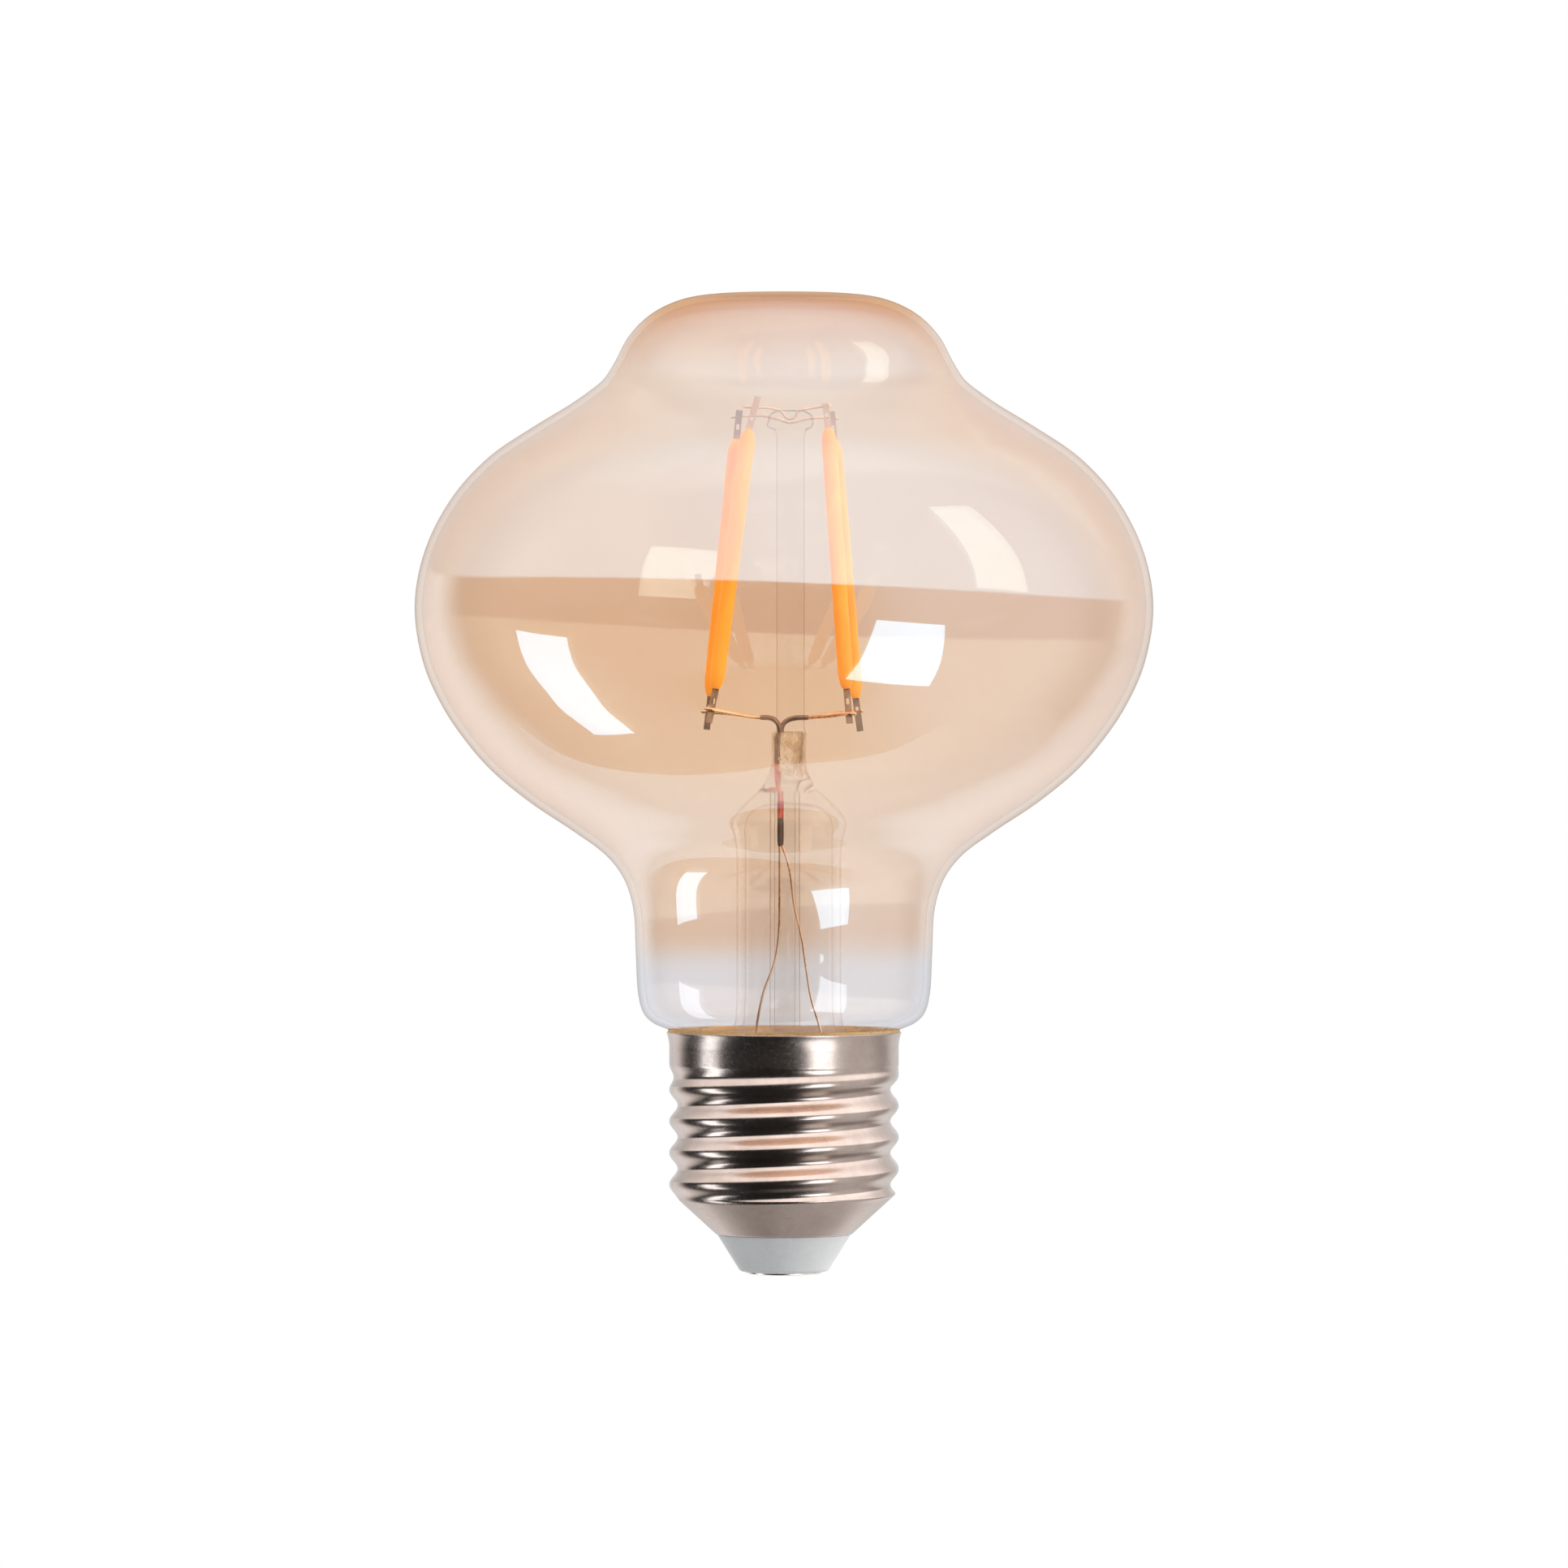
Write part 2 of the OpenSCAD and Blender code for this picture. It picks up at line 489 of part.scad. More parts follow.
radio = [-8.5, back, 9.5];
radio_size = [8.3, 0.8, 10.8];
module wireless_board() {
    color([0.08, 0.12, 0.30]) translate(radio) difference() {
        cube(radio_size);
        for (k = [0 : 5], x = [0, radio_size[0]])
            translate([x, -0.5, 1 + 1.1 * k]) rotate([-90, 0, 0]) cylinder(h = 2, r = 0.25, $fn = 24);
    }
}
module wireless_shield() {
    color([0.75, 0.75, 0.76]) translate(radio + [0.9, radio_size[1], 0.5]) difference() {
        cube([6.5, 1.3, 6.2]);
        translate([0.2, -0.1, 0.2]) cube([6.1, 1.2, 5.8]);
    }
}
module wireless_antenna() {
    track = [0.3, 0.06];
    turns = 5;
    step = 1.2;
    color(copper) translate(radio + [1, radio_size[1], 7.3]) {
        for (k = [0 : turns]) translate([k * step, 0, 0]) cube([track[0], track[1], 2.8]);
        for (k = [0 : turns - 1])
            translate([k * step, 0, k % 2 == 0 ? 2.5 : 0]) cube([step + track[0], track[1], track[0]]);
    }
}

module live_lead() {
    color([0.75, 0.12, 0.10]) wire(smooth([[0, 0, 7.22], [0, -0.2, 7.7], [0.4, -1, 8.3], [0.9, -1.3, 9.3],
                                           [1, -1.05, 10.2]], 3), 0.4, 8);
}
module neutral_lead() {
    color([0.15, 0.15, 0.17]) wire(smooth([[-7.6, -0.95, 18.6], [-7.9, -1.5, 19.8], [-9, -2.4, 20.9],
                                           [-10.5, -3.1, 21.9], [-11.4, -3.45, 22.8]], 3), 0.4, 8);
}

// ---------- output ----------
glass_envelope();
screw_shell();
basing_cement();
cap_insulator();
centre_contact();
stem_flare();
exhaust_tube();
support_rod();
anchor_wire_front();
anchor_wire_back();
inner_lead_left();
inner_lead_right();
branch_wire_left();
branch_wire_right();
seal_wire(left_lead);  // seal_wire_left
seal_wire(right_lead);  // seal_wire_right
lead_sleeve(left_lead);  // lead_sleeve_left
lead_sleeve(right_lead);  // lead_sleeve_right
outer_lead_left();
outer_lead_right();
coat(0);  // coat_front_left
coat(1);  // coat_front_right
coat(2);  // coat_back_left
coat(3);  // coat_back_right
strip(0);  // strip_front_left
strip(1);  // strip_front_right
strip(2);  // strip_back_left
strip(3);  // strip_back_right
chip_set(0);  // chips_front_left
chip_set(1);  // chips_front_right
chip_set(2);  // chips_back_left
chip_set(3);  // chips_back_right
top_tab(0);  // top_tab_front_left
top_tab(1);  // top_tab_front_right
top_tab(2);  // top_tab_back_left
top_tab(3);  // top_tab_back_right
foot_tab(0);  // foot_tab_front_left
foot_tab(1);  // foot_tab_front_right
foot_tab(2);  // foot_tab_back_left
foot_tab(3);  // foot_tab_back_right
driver_board();
bridge_rectifier();
driver_chip();
smoothing_capacitor();
inductor_core();
inductor_winding();
fuse_resistor();
chip_parts();
wireless_board();
wireless_shield();
wireless_antenna();
live_lead();
neutral_lead();
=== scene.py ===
"""Amber LED filament lamp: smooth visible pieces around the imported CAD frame. Metres, +Z up."""
import math

import bmesh
import bpy
from mathutils import Matrix, Quaternion, Vector, noise


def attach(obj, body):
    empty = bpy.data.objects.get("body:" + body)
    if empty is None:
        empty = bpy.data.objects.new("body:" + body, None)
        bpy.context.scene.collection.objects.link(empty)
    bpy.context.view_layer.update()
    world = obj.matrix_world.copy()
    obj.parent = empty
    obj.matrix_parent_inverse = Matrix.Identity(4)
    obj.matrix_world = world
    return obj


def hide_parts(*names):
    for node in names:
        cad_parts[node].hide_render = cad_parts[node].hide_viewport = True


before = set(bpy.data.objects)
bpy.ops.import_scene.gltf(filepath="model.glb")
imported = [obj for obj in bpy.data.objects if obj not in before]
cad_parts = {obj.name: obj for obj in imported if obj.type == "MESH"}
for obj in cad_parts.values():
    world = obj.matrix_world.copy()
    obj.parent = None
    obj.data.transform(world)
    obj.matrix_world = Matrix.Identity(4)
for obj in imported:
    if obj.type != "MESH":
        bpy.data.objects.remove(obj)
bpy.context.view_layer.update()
MM = 0.001
BODY = "root"


# ---------- smooth curves: the same centripetal Catmull-Rom as the CAD source ----------
def smooth(points, steps):
    pts = [Vector(p) for p in points]
    q = [2 * pts[0] - pts[1], *pts, 2 * pts[-1] - pts[-2]]
    out = []
    for a, b, c, d in zip(q, q[1:], q[2:], q[3:]):
        t1 = math.sqrt(max((b - a).length, 0.001))
        t2 = t1 + math.sqrt(max((c - b).length, 0.001))
        t3 = t2 + math.sqrt(max((d - c).length, 0.001))
        for k in range(steps):
            t = t1 + (t2 - t1) * k / steps
            ab = (a * (t1 - t) + b * t) / t1
            bc = (b * (t2 - t) + c * (t - t1)) / (t2 - t1)
            cd = (c * (t3 - t) + d * (t - t2)) / (t3 - t2)
            abc = (ab * (t2 - t) + bc * t) / t2
            bcd = (bc * (t3 - t) + cd * (t - t1)) / (t3 - t1)
            out.append((abc * (t2 - t) + bcd * (t - t1)) / (t2 - t1))
    return out + [pts[-1]]


def beside(outline, w):
    """An outline moved to its right-hand side by w; its first point stays on the axis."""
    out = []
    for i, p in enumerate(outline):
        d = outline[min(i + 1, len(outline) - 1)] - outline[max(i - 1, 0)]
        d.normalize()
        out.append(p - Vector((0, w)) if i == 0 else p + w * Vector((d.y, -d.x)))
    return out


# ---------- meshes, written in millimetres ----------
def piece(name, verts, faces, material, *nodes, slot=None):
    """A smooth mesh that stands in for CAD nodes and rides on the lamp's one body."""
    mesh = bpy.data.meshes.new(name)
    mesh.from_pydata([Vector(v) * MM for v in verts], [], faces)
    mesh.validate()
    shaped = bmesh.new()
    shaped.from_mesh(mesh)
    bmesh.ops.recalc_face_normals(shaped, faces=shaped.faces)
    shaped.to_mesh(mesh)
    shaped.free()
    mesh.polygons.foreach_set("use_smooth", [True] * len(mesh.polygons))
    mesh.update()
    obj = bpy.data.objects.new(name, mesh)
    bpy.context.scene.collection.objects.link(obj)
    obj.data.materials.append(material)
    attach(obj, BODY)
    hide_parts(*nodes)
    return obj


def lathe(outline, around, x=0.0, loop=True, shape=None):
    """Turns (radius, z) points about the vertical line at x. A point on the axis makes one vertex.
    loop joins the last point to the first. shape(radius, z, angle) may move a point."""
    verts, rows, faces = [], [], []
    for r, z in outline:
        if r < 1e-6:
            rows.append([len(verts)] * around)
            verts.append((x, 0.0, z))
            continue
        rows.append(list(range(len(verts), len(verts) + around)))
        for k in range(around):
            a = 2 * math.pi * k / around
            px, py, pz = shape(r, z, a) if shape else (r * math.cos(a), r * math.sin(a), z)
            verts.append((x + px, py, pz))
    pairs = list(zip(rows, rows[1:])) + ([(rows[-1], rows[0])] if loop else [])
    for low, high in pairs:
        if low[0] == low[1] and high[0] == high[1]:
            continue
        for k in range(around):
            n = (k + 1) % around
            ring = [low[k], low[n], high[n], high[k]]
            faces.append([v for i, v in enumerate(ring) if v != ring[i - 1]])
    return verts, faces


# (height, radius) of the rings that close a wire's end, as shares of its radius
DOME = [(0.35, 0.94), (0.7, 0.72), (0.94, 0.35)]


def tube(route, radius, sides=14):
    """A round wire along route, with domed ends. radius is a number or a function of 0..1."""
    route = [Vector(p) for p in route]
    n = len(route)
    size = radius if callable(radius) else lambda f: radius
    along = [(route[min(i + 1, n - 1)] - route[max(i - 1, 0)]).normalized() for i in range(n)]
    u = along[0].orthogonal().normalized()
    rings = []
    for i in range(n):
        u = (u - along[i] * u.dot(along[i])).normalized()
        rings.append((route[i], along[i], u, size(i / (n - 1))))
    first, last = rings[0], rings[-1]
    full = [(c - t * r * h, t, s, r * w) for h, w in reversed(DOME) for c, t, s, r in [first]]
    full += rings
    full += [(c + t * r * h, t, s, r * w) for h, w in DOME for c, t, s, r in [last]]
    verts, faces = [], []
    for c, t, s, r in full:
        w = t.cross(s)
        for k in range(sides):
            a = 2 * math.pi * k / sides
            verts.append(c + r * (math.cos(a) * s + math.sin(a) * w))
    m = len(full)
    for i in range(m - 1):
        for k in range(sides):
            a, b = i * sides + k, i * sides + (k + 1) % sides
            faces.append([a, b, b + sides, a + sides])
    faces.append(list(reversed(range(sides))))
    faces.append(list(range((m - 1) * sides, m * sides)))
    return verts, faces


def joined(*meshes):
    """Several (verts, faces) meshes as one."""
    verts, faces = [], []
    for v, f in meshes:
        faces += [[i + len(verts) for i in face] for face in f]
        verts += v
    return verts, faces


# ---------- materials ----------
class Mat:
    """A node tree with short calls: m.add(type, {socket: value or link}, property=value)."""

    def __init__(self, name):
        self.mat = bpy.data.materials.new(name)
        self.mat.use_nodes = True
        self.tree = self.mat.node_tree
        self.tree.nodes.clear()
        self.out = self.tree.nodes.new("ShaderNodeOutputMaterial")
        self.place = self.add("ShaderNodeTexCoord").outputs["Object"]

    def add(self, kind, inputs=None, **props):
        node = self.tree.nodes.new(kind)
        for key, value in props.items():
            setattr(node, key, value)
        for key, value in (inputs or {}).items():
            socket = node.inputs[key]
            if isinstance(value, bpy.types.NodeSocket):
                self.tree.links.new(value, socket)
            else:
                socket.default_value = value
        return node

    def noise(self, scale, detail=3.0, rough=0.5, stretch=None, distort=0.0):
        at = self.place
        if stretch:
            at = self.add("ShaderNodeMapping", {"Vector": at, "Scale": stretch}).outputs[0]
        return self.add("ShaderNodeTexNoise", {"Vector": at, "Scale": scale, "Detail": detail,
                                               "Roughness": rough, "Distortion": distort}).outputs[0]

    def ramp(self, value, low, high, to_low=0.0, to_high=1.0):
        return self.add("ShaderNodeMapRange", {"Value": value, "From Min": low, "From Max": high,
                                               "To Min": to_low, "To Max": to_high},
                        interpolation_type="SMOOTHSTEP").outputs[0]

    def math(self, kind, a, b=0.0):
        return self.add("ShaderNodeMath", {0: a, 1: b}, operation=kind).outputs[0]

    def mix(self, factor, a, b, blend="MIX"):
        node = self.add("ShaderNodeMix", data_type="RGBA", blend_type=blend)
        for index, value in ((0, factor), (6, a), (7, b)):
            if isinstance(value, bpy.types.NodeSocket):
                self.tree.links.new(value, node.inputs[index])
            else:
                node.inputs[index].default_value = value
        return node.outputs[2]

    def bump(self, height, strength, distance, normal=None):
        inputs = {"Height": height, "Strength": strength, "Distance": distance}
        if normal is not None:
            inputs["Normal"] = normal
        return self.add("ShaderNodeBump", inputs).outputs[0]

    def finish(self, shader):
        self.tree.links.new(shader, self.out.inputs["Surface"])
        return self.mat


def rgb(r, g, b):
    return (r, g, b, 1.0)


def solid_finish(name, dark, light, rough, metal=0.0, grain=900.0, bump=0.3, depth=0.00003,
                 stretch=None):
    """A finish whose colour, gloss and surface all vary a little, at the grain's scale."""
    m = Mat(name)
    broad = m.noise(grain * 0.12, 3.0)
    fine = m.noise(grain, 4.0, 0.6, stretch=stretch)
    shade = m.math("ADD", m.math("MULTIPLY", broad, 0.6), m.math("MULTIPLY", fine, 0.4))
    colour = m.mix(m.ramp(shade, 0.3, 0.7), dark, light)
    gloss = m.ramp(fine, 0.25, 0.75, rough[0], rough[1])
    normal = m.bump(fine, bump, depth)
    return m.finish(m.add("ShaderNodeBsdfPrincipled", {
        "Base Color": colour, "Roughness": gloss, "Normal": normal, "Metallic": metal}).outputs[0])


def wall_shader(m, tint, face_shine, edge_shine, gloss, bump):
    """One surface of a thin wall: it tints what passes and mirrors more towards its edge.
    gloss holds three mirror colours, for the wall seen face on, slanting and edge on."""
    facing = m.add("ShaderNodeLayerWeight", {"Blend": 0.5}).outputs["Facing"]
    edge = m.math("POWER", facing, 5.0)
    grow = m.math("MULTIPLY", edge, m.math("SUBTRACT", edge_shine, face_shine))
    shine = m.math("ADD", grow, face_shine)
    colour = m.mix(m.ramp(facing, 0.40, 0.82), gloss[0], gloss[1])
    colour = m.mix(m.ramp(facing, 0.84, 0.97), colour, gloss[2])
    clear = m.add("ShaderNodeBsdfTransparent", {"Color": tint}).outputs[0]
    mirror = m.add("ShaderNodeBsdfGlossy", {"Color": colour, "Roughness": 0.0, "Normal": bump}).outputs[0]
    return m.add("ShaderNodeMixShader", {0: shine, 1: clear, 2: mirror}).outputs[0]


def share_of(colour, share):
    return rgb(*[c ** share for c in colour[:3]])


def coated_glass(name, share, glass_shine, coat_shine, edge_shine):
    """One skin of the globe's blown glass. Its amber coat thins down the neck and ends in clear
    glass. share is this skin's part of the whole wall's tint."""
    m = Mat(name)
    height = m.add("ShaderNodeSeparateXYZ", {0: m.place}).outputs["Z"]
    wander = m.math("MULTIPLY", m.math("SUBTRACT", m.noise(45.0, 2.0), 0.5), 0.0018)
    height = m.math("ADD", height, wander)
    coat = m.math("ADD", m.ramp(height, *COAT_START, 0.0, NECK_COAT),
                  m.ramp(height, *COAT_FULL, 0.0, 1.0 - NECK_COAT))
    cloud = m.noise(28.0, 3.0, 0.45)
    amber = m.mix(m.ramp(cloud, 0.3, 0.7), share_of(AMBER_THIN, share), share_of(AMBER_THICK, share))
    crown = m.mix(1.0, amber, share_of(CROWN_COAT, share), "MULTIPLY")
    amber = m.mix(m.ramp(height, *CROWN_HEIGHTS), amber, crown)
    tint = m.mix(coat, share_of(CLEAR_TINT, share), amber)
    facing = m.add("ShaderNodeLayerWeight", {"Blend": 0.5}).outputs["Facing"]
    edge_tint = m.mix(1.0, tint, share_of(EDGE_SHADE, share), "MULTIPLY")
    tint = m.mix(m.ramp(facing, 0.30, 0.90), tint, edge_tint)
    face_shine = m.math("ADD", m.math("MULTIPLY", coat, coat_shine - glass_shine), glass_shine)
    gloss = [m.mix(coat, clear, coated) for clear, coated in zip(CLEAR_GLOSS, COAT_GLOSS)]
    golden = m.mix(m.ramp(height, *CROWN_GLOSS_HEIGHTS), rgb(1.0, 1.0, 1.0), CROWN_GLOSS)
    gloss = [gloss[0]] + [m.mix(1.0, slanting, golden, "MULTIPLY") for slanting in gloss[1:]]
    ripple = m.bump(m.noise(60.0, 2.0), 0.25, 0.00008)
    return m.finish(wall_shader(m, tint, face_shine, edge_shine, gloss, ripple))


def tube_glass():
    """Thin drawn glass: clear down its middle, a tan line along each edge, faint drawn streaks."""
    m = Mat("tube_glass")
    streak = m.noise(400.0, 2.0, stretch=(1.0, 1.0, 0.08))
    facing = m.add("ShaderNodeLayerWeight", {"Blend": 0.5}).outputs["Facing"]
    body = m.mix(m.ramp(streak, 0.3, 0.7), rgb(0.998, 0.996, 0.992), rgb(0.985, 0.982, 0.976))
    tint = m.mix(m.ramp(facing, 0.65, 0.97), body, rgb(0.66, 0.54, 0.43))
    return m.finish(wall_shader(m, tint, 0.018, 0.20, CLEAR_GLOSS, m.bump(streak, 0.3, 0.00005)))


def stem_glass():
    """The flare is a thin clear wall. The dome's top and the press are thick glass that bends light,
    the press lumpy and tinged gold; shadow rays pass straight through both."""
    m = Mat("stem_glass")
    height = m.add("ShaderNodeSeparateXYZ", {0: m.place}).outputs["Z"]
    streak = m.noise(300.0, 2.0, stretch=(1.0, 1.0, 0.12))
    facing = m.add("ShaderNodeLayerWeight", {"Blend": 0.5}).outputs["Facing"]
    body = m.mix(m.ramp(streak, 0.3, 0.7), rgb(0.995, 0.992, 0.988), rgb(0.978, 0.974, 0.968))
    tint = m.mix(m.ramp(facing, 0.60, 0.97), body, rgb(0.92, 0.88, 0.83))
    wall = wall_shader(m, tint, 0.030, 0.55, FLARE_GLOSS, m.bump(streak, 0.3, 0.00008))
    lumps = m.noise(750.0, 4.0, 0.65, stretch=(1.0, 1.0, 0.6), distort=0.8)
    pinched = m.ramp(height, *PRESS_HEIGHTS)
    # The press glass is tinted in lumps, from pale to dark gold.
    gold_lumps = m.mix(m.ramp(lumps, 0.45, 0.55), PRESS_PALE, PRESS_DARK)
    glass = m.add("ShaderNodeBsdfPrincipled", {
        "Base Color": m.mix(pinched, rgb(0.985, 0.988, 0.988), gold_lumps), "Roughness": 0.0, "IOR": 1.45,
        "Transmission Weight": 1.0,
        "Normal": m.bump(m.math("MULTIPLY", lumps, pinched), 1.0, 0.00030)}).outputs[0]
    pass_on = m.add("ShaderNodeBsdfTransparent", {"Color": rgb(0.9, 0.9, 0.9)}).outputs[0]
    shadow = m.add("ShaderNodeLightPath").outputs["Is Shadow Ray"]
    thick = m.add("ShaderNodeMixShader", {0: shadow, 1: glass, 2: pass_on}).outputs[0]
    return m.finish(m.add("ShaderNodeMixShader", {0: m.ramp(height, *WALL_TO_THICK), 1: wall,
                                                  2: thick}).outputs[0])


def cap_metal():
    """Satin nickel plate: fine grain, faint turned lines, scuffs on the thread, and painted shade that
    darkens the cone.
    """
    m = Mat("cap_nickel")
    grain = m.noise(2600.0, 3.0, 0.6)
    cloud = m.noise(220.0, 4.0, 0.6)
    lines = m.noise(900.0, 2.0, 0.5, stretch=(0.05, 0.05, 1.0))
    scuff = m.ramp(m.noise(500.0, 5.0, 0.7, stretch=(1.0, 1.0, 2.5)), 0.60, 0.72)
    shade = m.mix(m.ramp(cloud, 0.3, 0.7), NICKEL_DARK, NICKEL_LIGHT)
    colour = m.mix(m.math("MULTIPLY", scuff, 0.35), shade, rgb(0.24, 0.18, 0.15))
    height = m.add("ShaderNodeSeparateXYZ", {0: m.place}).outputs["Z"]
    satin = m.math("ADD", m.ramp(height, *SKIRT_HEIGHTS, 0.0, 0.04),
                   m.ramp(height, *CONE_HEIGHTS, 0.08, 0.0))
    # Painted shade: the cone's colour is darkened, so that it mirrors less of the studio's light.
    colour = m.mix(m.ramp(height, *CONE_HEIGHTS, 0.35, 0.0), colour, rgb(0.20, 0.155, 0.13))
    gloss = m.math("ADD", m.ramp(grain, 0.3, 0.7, 0.19, 0.24), m.math("MULTIPLY", scuff, 0.08))
    gloss = m.math("ADD", gloss, satin)
    flared = m.math("MULTIPLY", m.math("MAXIMUM", m.math("SUBTRACT", height, SKIRT_FOOT), 0.0), SKIRT_SLOPE)
    normal = m.bump(flared, 1.0, 1.0)
    normal = m.bump(grain, 0.12, 0.00001, normal)
    normal = m.bump(lines, 0.15, 0.00001, normal)
    return m.finish(m.add("ShaderNodeBsdfPrincipled", {
        "Base Color": colour, "Roughness": gloss, "Normal": normal, "Metallic": 1.0}).outputs[0])


def seal_finish():
    """Copper-clad seal wire: pink in the glass, and oxidised red where it leaves the glass."""
    m = Mat("seal_wire")
    height = m.add("ShaderNodeSeparateXYZ", {0: m.place}).outputs["Z"]
    grain = m.noise(1500.0, 4.0, 0.6)
    red = m.mix(m.ramp(grain, 0.3, 0.7), rgb(0.42, 0.05, 0.03), rgb(0.62, 0.12, 0.08))
    pink = m.mix(m.ramp(grain, 0.3, 0.7), rgb(0.70, 0.36, 0.30), rgb(0.85, 0.50, 0.42))
    colour = m.mix(m.ramp(height, *SEAL_IN_GLASS), red, pink)
    return m.finish(m.add("ShaderNodeBsdfPrincipled", {
        "Base Color": colour, "Roughness": m.ramp(grain, 0.25, 0.75, 0.35, 0.5), "Metallic": 0.5,
        "Normal": m.bump(grain, 0.3, 0.00003)}).outputs[0])


def phosphor_finish():
    """Cured silicone full of yellow-orange phosphor: soft, slightly cloudy, faintly lumpy. It also has a
    faint orange glow, which is painted light.
    """
    m = Mat("phosphor")
    cloud = m.noise(500.0, 3.0, 0.5, stretch=(1.0, 1.0, 0.35))
    grain = m.noise(5200.0, 2.0, 0.6)
    colour = m.mix(m.ramp(cloud, 0.3, 0.7), PHOSPHOR_DEEP, PHOSPHOR_LIGHT)
    normal = m.bump(grain, 0.3, 0.00003)
    return m.finish(m.add("ShaderNodeBsdfPrincipled", {
        "Base Color": colour, "Roughness": m.ramp(grain, 0.3, 0.7, 0.42, 0.6), "Normal": normal,
        # Painted light: the phosphor glows faintly in its own colour, made warmer.
        "Emission Color": m.mix(1.0, colour, rgb(1.0, 0.8, 0.6), "MULTIPLY"),
        "Emission Strength": PHOSPHOR_PAINTED_GLOW}).outputs[0])


# heights in metres between which a finish changes
COAT_START, COAT_FULL = (0.0345, 0.0395), (0.0400, 0.0600)
CROWN_HEIGHTS, CROWN_GLOSS_HEIGHTS = (0.1030, 0.1122), (0.1075, 0.1110)
PRESS_HEIGHTS, WALL_TO_THICK = (0.0562, 0.0578), (0.0550, 0.0557)
SKIRT_HEIGHTS, CONE_HEIGHTS, SKIRT_FOOT = (0.0233, 0.0245), (0.0082, 0.0094), 0.0238
SEAL_IN_GLASS = (0.0538, 0.0545)

AMBER_THIN = rgb(0.957, 0.757, 0.609)
AMBER_THICK = rgb(0.941, 0.717, 0.559)
CROWN_COAT = rgb(0.930, 0.750, 0.530)
CROWN_GLOSS = rgb(0.90, 0.70, 0.50)
EDGE_SHADE = rgb(0.925, 0.950, 0.970)
CLEAR_TINT = rgb(0.900, 0.875, 0.880)
NECK_COAT = 0.72
COAT_GLOSS = (rgb(0.42, 0.77, 1.0), rgb(0.80, 0.85, 0.89), rgb(0.66, 0.58, 0.52))
CLEAR_GLOSS = (rgb(0.60, 0.63, 0.66), rgb(0.60, 0.61, 0.63), rgb(0.62, 0.60, 0.60))
SKIRT_SLOPE = 0.085
FLARE_GLOSS = (rgb(0.85, 0.87, 0.90), rgb(0.95, 0.93, 0.92), rgb(0.97, 0.93, 0.90))
PRESS_PALE = rgb(0.985, 0.955, 0.900)
PRESS_DARK = rgb(0.720, 0.590, 0.400)
NICKEL_DARK = rgb(0.30, 0.238, 0.208)
NICKEL_LIGHT = rgb(0.36, 0.295, 0.265)
PHOSPHOR_DEEP = rgb(0.95, 0.42, 0.045)
PHOSPHOR_LIGHT = rgb(1.0, 0.50, 0.07)
PHOSPHOR_PAINTED_GLOW = 0.32

outer_glass = coated_glass("amber_glass", 0.85, 0.070, 0.120, 0.80)
inner_glass = coated_glass("amber_glass_inside", 0.15, 0.020, 0.030, 0.12)
stem_clear = stem_glass()
tube_clear = tube_glass()
nickel = cap_metal()
phosphor = phosphor_finish()
contact_metal = solid_finish("contact_nickel", rgb(0.60, 0.54, 0.49), rgb(0.74, 0.69, 0.65),
                             (0.22, 0.38), 1.0, 1800.0, 0.3)
cement_finish = solid_finish("cement", rgb(0.34, 0.20, 0.07), rgb(0.60, 0.41, 0.18), (0.6, 0.85),
                             grain=1500.0, bump=0.8, depth=0.0001)
insulator_finish = solid_finish("insulator_plastic", rgb(0.44, 0.43, 0.425), rgb(0.50, 0.49, 0.485),
                                (0.45, 0.62), grain=2200.0, bump=0.25)
lead_metal = solid_finish("lead_nickel", rgb(0.20, 0.165, 0.15), rgb(0.40, 0.345, 0.32), (0.3, 0.5),
                          1.0, 1500.0, 0.3, stretch=(1.0, 1.0, 0.3))
tab_metal = solid_finish("tab_metal", rgb(0.40, 0.32, 0.26), rgb(0.66, 0.56, 0.48), (0.38, 0.52),
                         1.0, 1800.0, 0.35)
copper_metal = solid_finish("copper_wire", rgb(0.60, 0.41, 0.27), rgb(0.86, 0.65, 0.47),
                            (0.22, 0.4), 1.0, 1500.0, 0.3, stretch=(1.0, 1.0, 0.3))
anchor_metal = solid_finish("anchor_nickel", rgb(0.54, 0.45, 0.41), rgb(0.74, 0.65, 0.60), (0.4, 0.55),
                            0.45, 1500.0, 0.3, stretch=(1.0, 1.0, 0.3))
anchor_finish = solid_finish("anchor_wire", rgb(0.64, 0.54, 0.48), rgb(0.84, 0.74, 0.67), (0.5, 0.65),
                             0.1, 1500.0, 0.3, stretch=(1.0, 1.0, 0.3))
seal_metal = seal_finish()
sleeve_metal = solid_finish("lead_sleeve", rgb(0.07, 0.055, 0.05), rgb(0.18, 0.14, 0.12),
                            (0.4, 0.6), 0.8, 1500.0, 0.4)

